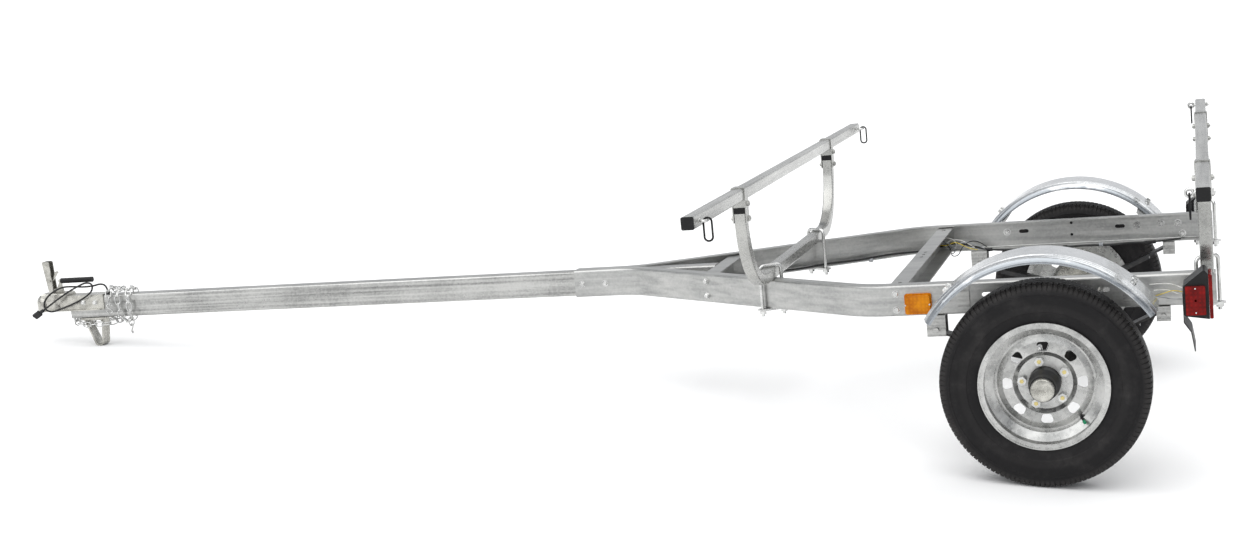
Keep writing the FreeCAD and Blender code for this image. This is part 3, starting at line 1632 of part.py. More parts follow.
# Assembly, level at first.
make_tongue()
for side_name, side_sign in (("left", -1), ("right", 1)):
    make_rail(side_name + "_rail", side_sign)
make_cross_members()
make_coupler()
make_lever()
make_latch()
make_foot()
make_chains()
make_wiring()
make_axle()
for side_name, side_sign in (("left", -1), ("right", 1)):
    make_spring(side_name + "_spring", side_sign)
    make_rim(side_name + "_rim", side_sign)
    make_tyre(side_name + "_tyre", side_sign)
    make_hub(side_name, side_sign)
    make_lug_nuts(side_name + "_lug_nuts", side_sign)
    make_fender(side_name + "_fender", side_sign)
    make_fender_brackets(side_name + "_fender_brackets", side_sign)
hanger_bolt = s.front_eye_z + 4
roof = s.rail_bottom - s.hanger_wall * 0.8
slide_bolt = s.rear_seat_z - s.leaf_thickness - s.eye_bolt_diameter / 2 - 2.2
make_hangers("front_hangers", s.front_eye_x, roof, hanger_bolt, s.hanger_length, s.eye_diameter * 0.7)
make_hangers("rear_hangers", s.rear_seat_x, roof, slide_bolt, s.hanger_length * 0.7, s.eye_diameter * 0.52)
make_spring_clamps()
rail_centre_y = float(rail_y(s.front_rack_x)) - float(s.rail_flange) * 1.19 / 2
make_lower_tube("front_lower_tube", s.front_rack_x, front_post_y, s.front_post_bend)
make_lower_tube("rear_lower_tube", s.rear_rack_x, rear_post_y, s.rear_post_bend)
make_tube_bolts("front_tube_bolts", float(s.front_rack_x), rail_centre_y, s.tube_bolt_reach, s.front_bolt_reach)
rear_centre_y = float(s.rail_half_track - s.rail_flange / 2)
make_tube_bolts("rear_tube_bolts", float(s.rear_rack_x), rear_centre_y, s.tube_bolt_reach, s.rear_bolt_reach)
make_bar("front_bar", s.front_rack_x)
make_bar("rear_bar", s.rear_rack_x)
make_bar_clamps("front_bar_clamps", s.front_rack_x, front_post_y, 1)
make_bar_clamps("rear_bar_clamps", s.rear_rack_x, rear_post_y, -1)
make_caps()
make_rings()
make_markers()
make_tail_lamps()
make_plate_bracket()
doc.recompute()

# Parked: leaned forward about the axle until the foot's bend stands as low as the tyres.
low_corner = [Vector(float(corner[0]), float(corner[1]), 0) for corner in foot_corners()]
bend_radius = float(s.foot_bend) * 0.9
bend_centre = corner_arc(low_corner[0], low_corner[1], low_corner[2], bend_radius)[0].Center
wheel_radius = float(tyre_radius)
reach_to_foot = math.hypot(bend_centre.x, bend_centre.y)
lean = math.pi - math.asin((bend_radius - wheel_radius) / reach_to_foot)
lean -= math.atan2(bend_centre.y, bend_centre.x)
leaned = Placement(Vector(0, 0, wheel_radius), Rotation(Vector(0, 1, 0), -math.degrees(lean)))
for node in nodes:
    node.Placement = leaned.multiply(node.Placement)
doc.recompute()

# The origin is under the middle of the whole, lengthways, on the floor.
loose = ("wiring_lead", "wiring_plug")
boxes = [node.Shape.optimalBoundingBox(False, False) for node in nodes if node.Label not in loose]
middle_x = (min(box.XMin for box in boxes) + max(box.XMax for box in boxes)) / 2
for node in nodes:
    node.Placement = Placement(Vector(-middle_x, 0, 0), Rotation()).multiply(node.Placement)
doc.recompute()
lowest = min(box.ZMin for box in boxes)
print(f"lean {math.degrees(lean):.4f} degrees, axle at x = {-middle_x:.4f}, lowest {lowest:.4f}")

for item in doc.Objects:
    if "Invalid" in item.State or "Error" in item.State:
        raise RuntimeError(f"{item.Label} did not build: {item.State}")
os.makedirs("parts", exist_ok=True)
for node in nodes:
    if node.Shape.isNull() or not node.Shape.isValid():
        raise RuntimeError(f"{node.Label} has no sound shape")
    node.Shape.exportStep(f"parts/{node.Label}.step")
print(len(nodes), "nodes")
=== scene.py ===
import math

import bmesh
import bpy
from mathutils import Matrix, Vector


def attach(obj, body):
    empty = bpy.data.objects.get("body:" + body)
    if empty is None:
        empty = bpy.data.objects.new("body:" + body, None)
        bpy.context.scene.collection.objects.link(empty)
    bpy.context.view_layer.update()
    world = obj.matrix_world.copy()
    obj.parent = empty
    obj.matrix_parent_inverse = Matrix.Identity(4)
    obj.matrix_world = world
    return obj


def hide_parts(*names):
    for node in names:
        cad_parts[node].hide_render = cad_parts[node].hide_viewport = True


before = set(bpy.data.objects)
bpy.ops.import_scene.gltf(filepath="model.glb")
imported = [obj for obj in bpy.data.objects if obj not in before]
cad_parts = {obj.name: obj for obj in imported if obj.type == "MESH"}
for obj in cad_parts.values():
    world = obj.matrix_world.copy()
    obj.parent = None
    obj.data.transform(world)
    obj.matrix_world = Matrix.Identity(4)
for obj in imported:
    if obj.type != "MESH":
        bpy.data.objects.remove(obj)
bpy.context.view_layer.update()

# The trailer stands with its coupler down on the support foot. Its pieces are measured in metres along the
# level trailer, from the middle of the axle, and then lean with it about the axle.
lean_angle = math.radians(-5.7625)
axle_x = 1.5083622
axle_height = 0.264
lean = Matrix.Translation((axle_x, 0, axle_height)) @ Matrix.Rotation(lean_angle, 4, "Y")

# The view of the photograph: from the trailer's left, a little behind its middle and above it.
photo_width = 1260
focal_pixels = 1830.92
tilt_down = 0.187
turn_left = 0.294
lens = bpy.data.cameras.new("view")
lens.sensor_width = 36
lens.lens = lens.sensor_width * focal_pixels / photo_width
lens.clip_end = 200
view = bpy.data.objects.new("view", lens)
view.location = (1.8090, -5.3338, 1.3823)
view.rotation_euler = (math.pi / 2 - tilt_down, 0, turn_left)
bpy.context.scene.collection.objects.link(view)
bpy.context.scene.camera = view
bpy.context.scene.view_settings.view_transform = "Standard"

# The tongue is a 76 by 51 mm rectangular steel tube with rounded corners, dipped whole in molten zinc.
# The zinc sets in small flat crystals, and drain streaks run along the tube.
tongue_dark = (0.18, 0.182, 0.178)
tongue_light = (0.52, 0.52, 0.505)
tongue_drains = (0.60, 0.007, 0.007)


class Wire:
    """One socket in a material. Sums and products of sockets add the Math nodes that they need."""

    def __init__(self, tree, socket=None):
        self.tree = tree
        self.socket = socket

    def node(self, kind, settings, inputs, output=0):
        made = self.tree.nodes.new(kind)
        for name, value in settings.items():
            if name == "stops":
                while len(made.color_ramp.elements) < len(value):
                    made.color_ramp.elements.new(0.5)
                for stop, (place, colour) in zip(made.color_ramp.elements, value):
                    stop.position = place
                    stop.color = (*colour, 1)
            else:
                setattr(made, name, value)
        for name, value in inputs.items():
            if isinstance(value, Wire):
                self.tree.links.new(value.socket, made.inputs[name])
            else:
                made.inputs[name].default_value = value
        return Wire(self.tree, made.outputs[output])

    def math(self, operation, *values):
        return self.node("ShaderNodeMath", {"operation": operation}, dict(enumerate(values)))

    def __add__(self, other):
        return self.math("ADD", self, other)

    def __sub__(self, other):
        return self.math("SUBTRACT", self, other)

    def __rsub__(self, other):
        return self.math("SUBTRACT", other, self)

    def __mul__(self, other):
        return self.math("MULTIPLY", self, other)

    __radd__ = __add__
    __rmul__ = __mul__

    def clamp(self):
        return self.node("ShaderNodeClamp", {}, {0: self})

    def above(self, low, high):
        """0 below low, 1 above high, and a smooth step between them."""
        settings = {"interpolation_type": "SMOOTHSTEP"}
        return self.node("ShaderNodeMapRange", settings, {0: self, 1: low, 2: high, 3: 0.0, 4: 1.0})

    def tint(self, dark, light):
        """A colour between the two, by this value."""
        shades = {6: (*dark, 1), 7: (*light, 1)}
        return self.node("ShaderNodeMix", {"data_type": "RGBA"}, {0: self, **shades}, 2)


def new_finish(name, fixed):
    """A material with its shader, and the place on the piece that its patterns read."""
    material = bpy.data.materials.new(name)
    material.use_nodes = True
    tree = material.node_tree
    shader = tree.nodes["Principled BSDF"]
    for socket, value in fixed.items():
        shader.inputs[socket].default_value = value
    place = Wire(tree).node("ShaderNodeTexCoord", {}, {}, "Object")
    return material, shader, place


def feed(shader, **links):
    """Links what varies over the surface to the shader's sockets."""
    for name, wire in links.items():
        shader.id_data.links.new(wire.socket, shader.inputs[name.replace("_", " ")])


def grain(place, scale, detail=3.0, rough=0.55):
    """Cloudy noise, from 0 to 1."""
    inputs = {"Vector": place, "Scale": scale, "Detail": detail, "Roughness": rough}
    return place.node("ShaderNodeTexNoise", {}, inputs)


def stretched(place, lengths):
    """The place along the leaning trailer, with each axis measured in a length of its own."""
    turned = {"Vector": place, "Rotation": (0, lean_angle, 0), "Scale": lengths}
    return place.node("ShaderNodeMapping", {"vector_type": "TEXTURE"}, turned)


def bumped(height, depth, strength=1.0):
    """Low relief, from a height over the surface and its depth in metres."""
    inputs = {"Height": height, "Distance": depth, "Strength": strength}
    return height.node("ShaderNodeBump", {}, inputs)


def dress(material, slot, *names):
    """Gives CAD nodes their finish."""
    for name in names:
        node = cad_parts[name]
        node.data.materials.clear()
        node.data.materials.append(material)


def galvanised(name, dark, light, crystal, shine, drain, spread=0.75, shade=None):
    """Zinc between two shades, with crystals to the metre and the lengths of its drain streaks."""
    material, shader, place = new_finish(name, {"IOR": 1.6})
    wobble = place.node("ShaderNodeTexNoise", {}, {"Vector": place, "Scale": 90.0, "Detail": 2.0}, 1)
    bent = place.node("ShaderNodeMix", {"data_type": "VECTOR"}, {0: 0.006, 4: place, 5: wobble}, 1)
    cells = place.node("ShaderNodeTexVoronoi", {}, {"Vector": bent, "Scale": crystal}, "Color")
    crystals = cells.node("ShaderNodeSeparateColor", {}, {0: cells}, 0)
    facets = cells.node("ShaderNodeSeparateColor", {}, {0: cells}, 1)
    drains = grain(stretched(place, drain), 1.0, 4.0, 0.55)
    clouds = grain(place, 5.0, 4.0, 0.55)
    soot = grain(place, 22.0, 5.0, 0.65).above(0.58, 0.78)
    tone = crystals * 0.1 + drains * 0.72 + clouds * 0.4 - soot * 0.12
    # Where given, a painted reflection darkens the tone here.
    if shade:
        tone = tone - shade(place)
    middle = 0.57
    feed(
        shader,
        Base_Color=tone.above(middle - spread * 0.5, middle + spread * 0.5).tint(dark, light),
        Metallic=0.84 - soot * 0.15,
        Roughness=(shine + crystals * 0.07 + facets * 0.04 + soot * 0.1 + drains * 0.1 - 0.04).clamp(),
        Normal=bumped(crystals * 0.3 + drains * 1.2, 0.0003, 0.45),
    )
    return material


dull_zinc = galvanised("dipped_zinc", tongue_dark, tongue_light, 210.0, 0.26, tongue_drains, 0.5)
dress(dull_zinc, "galvanised", "tongue")

# The two side rails are bent steel channels, dipped like the tongue. They lie against its sides at the
# front, open out to the axle and run on to the rear, where two cross-members of the same steel tie them.
rail_zinc = galvanised(
    "rail_zinc", (0.25, 0.254, 0.252), (0.53, 0.53, 0.515), 170.0, 0.28, (0.30, 0.05, 0.014), 0.7
)
dress(rail_zinc, "galvanised", "left_rail", "right_rail", "front_cross_member", "middle_cross_member")

# Plated bolts hold the rails to the tongue and to the cross-members. Each passes through both walls, with
# its head outside and a nut inside.
tongue_side = 0.0293
rail_side = 0.545
rail_wall = 0.0035
flare_start = -1.284
flare_end = -0.480
flare = (rail_side - tongue_side) / (flare_end - flare_start)
tongue_bolts = (-1.448, -1.373)
front_member = -0.999
middle_member = -0.390
washer_height = 0.0018
head_height = 0.007
bolt_height = 0.0085
inner_nuts = ((0.272, 0.2066), (0.3226, 0.205), (0.3346, 0.171), (0.200, 0.203), (-0.200, 0.203))


def flared(along):
    """How far across a rail's outer face is, where the rail opens out."""
    return tongue_side + (along - flare_start) * flare


def add_piece(name, shape, material, body="chassis", crease=35):
    """A piece from its bmesh, smooth but for edges sharper than the crease, in degrees."""
    mesh = bpy.data.meshes.new(name)
    shape.to_mesh(mesh)
    shape.free()
    mesh.shade_smooth()
    mesh.set_sharp_from_angle(angle=math.radians(crease))
    mesh.materials.append(material)
    piece = bpy.data.objects.new(name, mesh)
    bpy.context.scene.collection.objects.link(piece)
    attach(piece, body)
    return piece


def stand(place, out):
    """A matrix that stands a shape made along Z on a place of the trailer, pointing out of its face."""
    upright = Vector(out).to_track_quat("Z", "Y").to_matrix().to_4x4()
    return lean @ Matrix.Translation(place) @ upright


def add_disc(shape, base, radius, low, high, top=1.0, sides=24):
    """A round or many-sided slice between two heights, narrowed at its top."""
    middle = base @ Matrix.Translation((0, 0, (low + high) / 2))
    upper = radius * top
    bmesh.ops.create_cone(
        shape, cap_ends=True, segments=sides, radius1=radius, radius2=upper, depth=high - low, matrix=middle
    )


def add_bolt(shape, place, out, across=0.014, washer=0.0105):
    """A hexagon head, chamfered on top, on a flat washer."""
    base = stand(place, out)
    add_disc(shape, base, washer, 0, washer_height)
    corner = across / 2 / math.cos(math.pi / 6)
    add_disc(shape, base, corner, washer_height, head_height, sides=6)
    add_disc(shape, base, corner, head_height, bolt_height, top=0.82, sides=6)


def add_nut(shape, place, out, across=0.014, washer=0.0105, thread=0.006):
    """A nut on a washer with its bolt's end standing out of it."""
    add_bolt(shape, place, out, across, washer)
    add_disc(shape, stand(place, out), across * 0.29, bolt_height, bolt_height + thread, top=0.85)


bright_zinc = galvanised(
    "plated_zinc", (0.30, 0.302, 0.295), (0.76, 0.762, 0.75), 420.0, 0.14, (0.03, 0.03, 0.03), 0.7
)
rail_bolts = bmesh.new()
for side in (-1, 1):
    inside = side * (rail_side - rail_wall)
    slant = Vector((-flare, side, 0)).normalized()
    for along in tongue_bolts:
        add_bolt(rail_bolts, (along, side * tongue_side, 0.194), (0, side, 0))
    for height in (0.216, 0.173):
        add_bolt(rail_bolts, (front_member, side * flared(front_member), height), slant, washer=0.010)
        add_bolt(rail_bolts, (middle_member, side * rail_side, height - 0.002), (0, side, 0), washer=0.010)
        add_nut(rail_bolts, (middle_member + 0.0015, inside, height - 0.002), (0, -side, 0), thread=0.004)
    for along, height in inner_nuts:
        add_nut(rail_bolts, (along, inside, height), (0, -side, 0), washer=0.0115)
add_piece("rail_bolts", rail_bolts, bright_zinc)

# The coupler is a pressed steel housing with a round nose over the tow ball, plated bright. Its lever,
# a folded strap with a plastic grip beside it, draws a latch under the ball.
worn_zinc = galvanised(
    "worn_plating", (0.17, 0.166, 0.148), (0.60, 0.59, 0.545), 300.0, 0.2, (0.05, 0.03, 0.03), 0.55
)
dress(worn_zinc, "bright_zinc", "coupler", "coupler_lever", "coupler_latch")
moulded_black, shader, place = new_finish("moulded_black", {"Specular IOR Level": 0.25})
scuffs = grain(place, 35.0, 4.0, 0.65).above(0.5, 0.8)
feed(
    shader,
    Base_Color=scuffs.tint((0.006, 0.006, 0.0065), (0.022, 0.022, 0.023)),
    Roughness=0.42 + scuffs * 0.25,
    Normal=bumped(grain(place, 1600.0, 2.0), 0.0001),
)
dress(moulded_black, "black_plastic", "handle_grip")
coupler_side = 0.029
coupler_bolts = bmesh.new()
for side in (-1, 1):
    for along, height in ((-3.2433, 0.2119), (-3.1974, 0.2103)):
        spot = (along, side * coupler_side, height)
        add_bolt(coupler_bolts, spot, (0, side, 0), across=0.013, washer=0.009)
add_piece("coupler_bolts", coupler_bolts, bright_zinc)

# The support foot is a flat steel bar bent to a V under a short plate below the coupler end. The safety
# chains hang from staples beside it: welded round links, each a quarter turn from the last.
dress(worn_zinc, "bright_zinc", "foot_strap", "foot_channel")
lost_in_rounding = 0.00035
links = bmesh.new()
links.from_mesh(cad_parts["safety_chains"].data)
bmesh.ops.remove_doubles(links, verts=links.verts, dist=0.00002)
bmesh.ops.join_triangles(links, faces=links.faces, angle_face_threshold=0.02, angle_shape_threshold=3.2)
links.normal_update()
for corner in links.verts:
    corner.co += corner.normal * lost_in_rounding
chains = add_piece("safety_chain_links", links, bright_zinc, crease=180)
rounding = chains.modifiers.new("rounding", "SUBSURF")
rounding.levels = 2
rounding.render_levels = 2
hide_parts("safety_chains")

# The lead for the lamps comes up out of a rubber grommet in the top of the tongue. It is a limp round
# cable, looped round the coupler and its handle for parking, with a flat four-way plug on its end.
cable_black, shader, place = new_finish("cable_jacket", {"Specular IOR Level": 0.4})
dust = grain(place, 60.0)
feed(
    shader,
    Base_Color=dust.above(0.45, 0.75).tint((0.006, 0.006, 0.0065), (0.020, 0.020, 0.021)),
    Roughness=0.4 + dust * 0.25,
    Normal=bumped(grain(place, 900.0), 0.0002),
)
lead_route = [
    (-3.157, -0.006, 0.242), (-3.159, -0.007, 0.262), (-3.178, -0.010, 0.271), (-3.208, -0.013, 0.264),
    (-3.248, -0.016, 0.263), (-3.288, -0.017, 0.267), (-3.324, -0.020, 0.267), (-3.350, -0.034, 0.256),
    (-3.371, -0.046, 0.240), (-3.385, -0.053, 0.216), (-3.375, -0.057, 0.194), (-3.347, -0.058, 0.188),
    (-3.300, -0.056, 0.202), (-3.250, -0.054, 0.218), (-3.212, -0.051, 0.236), (-3.190, -0.046, 0.254),
    (-3.192, -0.039, 0.276), (-3.220, -0.034, 0.281), (-3.252, -0.038, 0.269), (-3.286, -0.046, 0.253),
    (-3.326, -0.056, 0.230), (-3.352, -0.064, 0.213), (-3.376, -0.070, 0.198),
]


def cable_curve(name, route, thickness):
    """A round cable through given points."""
    shape = bpy.data.curves.new(name, "CURVE")
    shape.dimensions = "3D"
    shape.resolution_u = 12
    shape.bevel_depth = thickness / 2
    shape.bevel_resolution = 4
    shape.use_fill_caps = True
    line = shape.splines.new("NURBS")
    line.points.add(len(route) - 1)
    for point, place in zip(line.points, route):
        point.co = (*(lean @ Vector(place)), 1)
    line.use_endpoint_u = True
    line.order_u = 3
    return bpy.data.objects.new(name, shape)


lead = cable_curve("lamp_lead", lead_route, 0.006)
bpy.context.scene.collection.objects.link(lead)
lead.data.materials.append(cable_black)
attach(lead, "chassis")
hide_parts("wiring_lead")
dress(cable_black, "black_rubber", "wiring_plug", "wiring_grommet")

# Fixed wiring runs from the tongue along the lower flange of the right rail, clipped to its edge. Spare
# wire is bundled behind the middle cross-member, and tape holds the joint near the spring hanger.
flange_edge = 0.044
straight_run = 0.503
harness_sags = (0.004, 0.0, 0.005, 0.001, 0.006, 0.002, 0.007, 0.003)


def add_wire(name, route, thickness, material):
    """A wire fixed to the frame, as a plain mesh."""
    drawn = cable_curve(name, route, thickness)
    mesh = bpy.data.meshes.new_from_object(drawn)
    mesh.name = name
    bpy.data.objects.remove(drawn)
    wire = bpy.data.objects.new(name, mesh)
    bpy.context.scene.collection.objects.link(wire)
    mesh.materials.append(material)
    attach(wire, "chassis")


def wire_finish(name, dark, light):
    """Smooth sheathing, soiled in patches."""
    material, shader, place = new_finish(name, {"Specular IOR Level": 0.45})
    soiled = grain(place, 45.0, 4.0)
    feed(shader, Base_Color=soiled.above(0.35, 0.7).tint(light, dark), Roughness=0.38 + soiled * 0.2)
    return material


white_wire = wire_finish("white_wire", (0.50, 0.50, 0.47), (0.74, 0.74, 0.71))
yellow_wire = wire_finish("yellow_wire", (0.55, 0.40, 0.02), (0.80, 0.62, 0.05))
grey_wire = wire_finish("grey_wire", (0.16, 0.17, 0.18), (0.32, 0.33, 0.34))
harness = [(-1.22, 0.034, 0.164), (-1.16, 0.066, 0.162)]
for step, sag in enumerate(harness_sags):
    along = -1.08 + step * 0.085
    harness.append((along, flared(along) - flange_edge, 0.158 + sag))
harness += [
    (-0.440, 0.501, 0.162), (-0.395, 0.497, 0.178), (-0.350, 0.496, 0.184), (-0.310, 0.499, 0.170),
    (-0.262, 0.502, 0.156), (-0.200, 0.503, 0.150), (-0.120, 0.503, 0.153), (-0.040, 0.503, 0.149),
    (0.040, 0.503, 0.154), (0.110, 0.503, 0.150), (0.180, 0.503, 0.156), (0.240, 0.504, 0.153),
    (0.330, 0.506, 0.160),
]
add_wire("harness", harness, 0.0062, cable_black)
bundle = (
    (white_wire, 0.0024, [
        (-0.420, 0.496, 0.186), (-0.392, 0.488, 0.204), (-0.366, 0.484, 0.198), (-0.352, 0.486, 0.176),
        (-0.372, 0.490, 0.160), (-0.396, 0.491, 0.172), (-0.378, 0.487, 0.196), (-0.340, 0.486, 0.194),
        (-0.318, 0.490, 0.178), (-0.300, 0.494, 0.166),
    ]),
    (grey_wire, 0.0030, [
        (-0.428, 0.494, 0.170), (-0.404, 0.486, 0.190), (-0.380, 0.482, 0.186), (-0.358, 0.480, 0.164),
        (-0.368, 0.483, 0.148), (-0.390, 0.486, 0.158), (-0.352, 0.484, 0.182), (-0.322, 0.488, 0.186),
        (-0.290, 0.494, 0.172), (-0.270, 0.500, 0.160),
    ]),
    (yellow_wire, 0.0020, [
        (-0.415, 0.497, 0.178), (-0.385, 0.484, 0.176), (-0.360, 0.481, 0.190), (-0.335, 0.483, 0.176),
        (-0.310, 0.488, 0.162), (-0.292, 0.496, 0.158),
    ]),
    (cable_black, 0.0028, [
        (-0.405, 0.495, 0.198), (-0.372, 0.480, 0.170), (-0.374, 0.479, 0.142), (-0.350, 0.481, 0.144),
        (-0.340, 0.484, 0.170), (-0.312, 0.489, 0.190), (-0.280, 0.496, 0.182), (-0.262, 0.500, 0.164),
    ]),
)
for count, (material, thickness, route) in enumerate(bundle):
    add_wire(f"spare_wire_{count + 1}", route, thickness, material)
wraps = bmesh.new()
for along, height, length in ((0.238, 0.1535, 0.034), (-0.255, 0.1548, 0.018), (-0.02, 0.1515, 0.014)):
    base = stand((along - length / 2, 0.5035, height), (1, 0, 0.02))
    add_disc(wraps, base, 0.0056, 0, length, top=0.96)
add_piece("wiring_tape", wraps, moulded_black)
clips = bmesh.new()
for along in (-0.90, -0.62, -0.15, 0.09):
    across = flared(along) - flange_edge if along < flare_end else straight_run
    base = stand((along - 0.006, across, 0.1545), (1, 0, 0))
    add_disc(clips, base, 0.0062, 0, 0.012)
add_piece("wiring_clips", clips, grey_wire)

# The axle is a square steel beam, carried by a leaf spring under each rail. Each spring turns on a bolt
# in its front hanger, slides in its rear one, and is clamped to the beam by two U-bolts and a plate.
dress(dull_zinc, "galvanised", "axle", "front_hangers", "rear_hangers")
dress(bright_zinc, "bright_zinc", "spring_clamps")
spring_black, shader, place = new_finish("oiled_spring_steel", {"IOR": 1.5})
worn = grain(place, 28.0, 5.0, 0.7).above(0.5, 0.72)
feed(
    shader,
    Base_Color=worn.tint((0.012, 0.012, 0.013), (0.07, 0.065, 0.06)),
    Metallic=worn * 0.5,
    Roughness=0.38 + worn * 0.2,
    Normal=bumped(grain(place, 260.0), 0.0003),
)
dress(spring_black, "spring_steel", "left_spring", "right_spring")

# The wheels are pressed steel discs in rolled rims, dipped in zinc, which leaves a frosty bloom. Five
# plated nuts on gold coloured studs hold each one to its hub, whose bright cap wears a rubber boot.
stud_count = 5
stud_circle = 0.05715
first_stud = -11
rim_zinc = galvanised(
    "frosty_zinc", (0.19, 0.193, 0.19), (0.58, 0.58, 0.565), 130.0, 0.22, (0.06, 0.06, 0.06), 0.6
)
gold_zinc = galvanised(
    "gold_plating", (0.42, 0.33, 0.12), (0.78, 0.66, 0.30), 500.0, 0.26, (0.02, 0.02, 0.02)
)
soft_rubber, shader, place = new_finish("boot_rubber", {"Specular IOR Level": 0.35})
bloom = grain(place, 90.0, 4.0, 0.6)
feed(
    shader,
    Base_Color=bloom.above(0.4, 0.8).tint((0.005, 0.005, 0.0055), (0.018, 0.018, 0.019)),
    Roughness=0.42 + bloom * 0.2,
    Normal=bumped(grain(place, 1200.0), 0.0001),
)
green_cap, shader, place = new_finish("green_cap", {"Specular IOR Level": 0.4})
feed(
    shader,
    Base_Color=grain(place, 80.0).tint((0.0, 0.16, 0.07), (0.01, 0.26, 0.12)),
    Roughness=0.4 + grain(place, 200.0) * 0.1,
)
for side, name in ((-1, "left"), (1, "right")):
    dress(rim_zinc, "rim_zinc", name + "_rim")
    dress(worn_zinc, "bright_zinc", name + "_hub")
    dress(bright_zinc, "yellow_zinc", name + "_lug_nuts")
    dress(soft_rubber, "black_rubber", name + "_hub_boot")
    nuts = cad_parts[name + "_lug_nuts"]
    nut_end = max(abs(corner[1]) for corner in nuts.bound_box)
    studs = bmesh.new()
    for count in range(stud_count):
        turned = math.radians(360 / stud_count * count + first_stud)
        out = Vector((math.sin(turned), 0, math.cos(turned)))
        spot = out * stud_circle + Vector((0, side * (nut_end - 0.004), 0))
        add_disc(studs, stand(spot, (0, side, 0)), 0.0062, 0, 0.0062, top=0.8)
    add_piece(name + "_studs", studs, gold_zinc, name + "_wheel")
    valve = bmesh.new()
    stem = stand((0.088, side * 0.712, -0.093), (0.22, side, -0.22))
    add_disc(valve, stem, 0.0062, -0.006, 0.004)
    add_disc(valve, stem, 0.0042, 0.004, 0.024, top=0.85)
    add_piece(name + "_valve", valve, soft_rubber, name + "_wheel")
    cap = bmesh.new()
    add_disc(cap, stem, 0.0046, 0.022, 0.031, top=0.85, sides=16)
    add_piece(name + "_valve_cap", cap, green_cap, name + "_wheel")

# The tyres are black rubber. Five ribs go round the tread, the outer two cut into blocks that run down
# over the shoulders, and low moulded rings go round the plain side walls.
wheel_across = 0.704
tread_blocks = 124
block_cut = 0.0034
outer_groove = 0.031
shoulder_end = 0.246
block_ends = (0.0, 0.72, 0.78, 0.94)
half_outline = [
    (0.0, 0.2640), (0.0085, 0.2639), (0.0095, 0.2592), (0.0125, 0.2592), (0.0135, 0.2638),
    (0.0265, 0.2635), (0.0275, 0.2588), (0.0305, 0.2588), (0.0315, 0.2632), (0.0400, 0.2627),
    (0.0462, 0.2615), (0.0510, 0.2580), (0.0548, 0.2528), (0.0570, 0.2470), (0.0572, 0.2455),
    (0.0590, 0.2400), (0.0598, 0.2372), (0.0606, 0.2366), (0.0607, 0.2340), (0.0600, 0.2334),
    (0.0606, 0.2250), (0.0606, 0.2130), (0.0600, 0.2030), (0.0590, 0.1950), (0.0592, 0.1938),
    (0.0586, 0.1915), (0.0572, 0.1905), (0.0556, 0.1820), (0.0536, 0.1740), (0.0520, 0.1680),
    (0.0505, 0.1652), (0.0505, 0.1540),
]
outline = [(-across, radius) for across, radius in reversed(half_outline[1:])] + half_outline


def from_axle(place):
    """How far a place is from the middle line of the axle."""
    inputs = {0: place, 1: (1, 0, 1), 2: (-axle_x, 0, -axle_height)}
    flat = place.node("ShaderNodeVectorMath", {"operation": "MULTIPLY_ADD"}, inputs)
    return flat.node("ShaderNodeVectorMath", {"operation": "LENGTH"}, {0: flat}, 1)


tyre_rubber, shader, place = new_finish("tyre_rubber", {"Specular IOR Level": 0.2})
reach = from_axle(place)
chalk = grain(place, 16.0, 6.0, 0.7).above(0.46, 0.8)
road_dust = reach.above(0.238, 0.252)
flank = reach.above(0.18, 0.2) * (1.0 - reach.above(0.206, 0.216))
dusty = road_dust * 0.6 + chalk * 0.6 + flank * 0.18
scuffed = grain(place, 120.0, 4.0, 0.7)
feed(
    shader,
    Base_Color=dusty.clamp().tint((0.0058, 0.0054, 0.0060), (0.030, 0.0280, 0.0275)),
    Roughness=0.44 + scuffed * 0.22,
    Normal=bumped(scuffed, 0.0003, 0.6),
)
steps = tread_blocks * len(block_ends)
full_turn = 2 * math.pi
middle = (0, 0, 0)
axis = (0, 1, 0)
tread = bmesh.new()
corners = [tread.verts.new((0, across, radius)) for across, radius in outline]
edges = [tread.edges.new(pair) for pair in zip(corners, corners[1:] + corners[:1])]
ring = corners + edges
bmesh.ops.spin(tread, geom=ring, cent=middle, axis=axis, angle=full_turn, steps=steps, use_merge=True)
for corner in tread.verts:
    reach = math.hypot(corner.co.x, corner.co.z)
    step = round(math.atan2(corner.co.x, corner.co.z) / full_turn * steps) % steps
    block, part = divmod(step, len(block_ends))
    if part > 1 and abs(corner.co.y) > outer_groove and reach > shoulder_end:
        reach -= block_cut
    turned = full_turn * (block + block_ends[part]) / tread_blocks
    corner.co.x = reach * math.sin(turned)
    corner.co.z = reach * math.cos(turned)
bmesh.ops.recalc_face_normals(tread, faces=tread.faces)
for side, name in ((-1, "left"), (1, "right")):
    cast = tread.copy()
    placed = lean @ Matrix.Translation((0, side * wheel_across, 0))
    bmesh.ops.transform(cast, matrix=placed, verts=cast.verts)
    tyre = add_piece(name + "_road_tyre", cast, tyre_rubber, name + "_wheel", crease=40)
    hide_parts(name + "_tyre")
tread.free()

# The mudguards are rolled from thin zinc-coated sheet, flat on top with a rolled bead at each edge. Two
# brackets from the rail carry each one, with two bolts through its top at each.
fender_radius = 0.341
bracket_angles = (-42.5, 42.5)


def bead_painted_reflection(place):
    """Painted reflection: dark streaks painted into the lower half of each bead, standing in for the dark
    studio it mirrors.
    """
    bead = 1.0 - from_axle(place).above(0.326, 0.338)
    streaks = grain(stretched(place, (0.12, 0.05, 0.12)), 1.0, 3.0).above(0.34, 0.58)
    return bead * streaks * 0.75
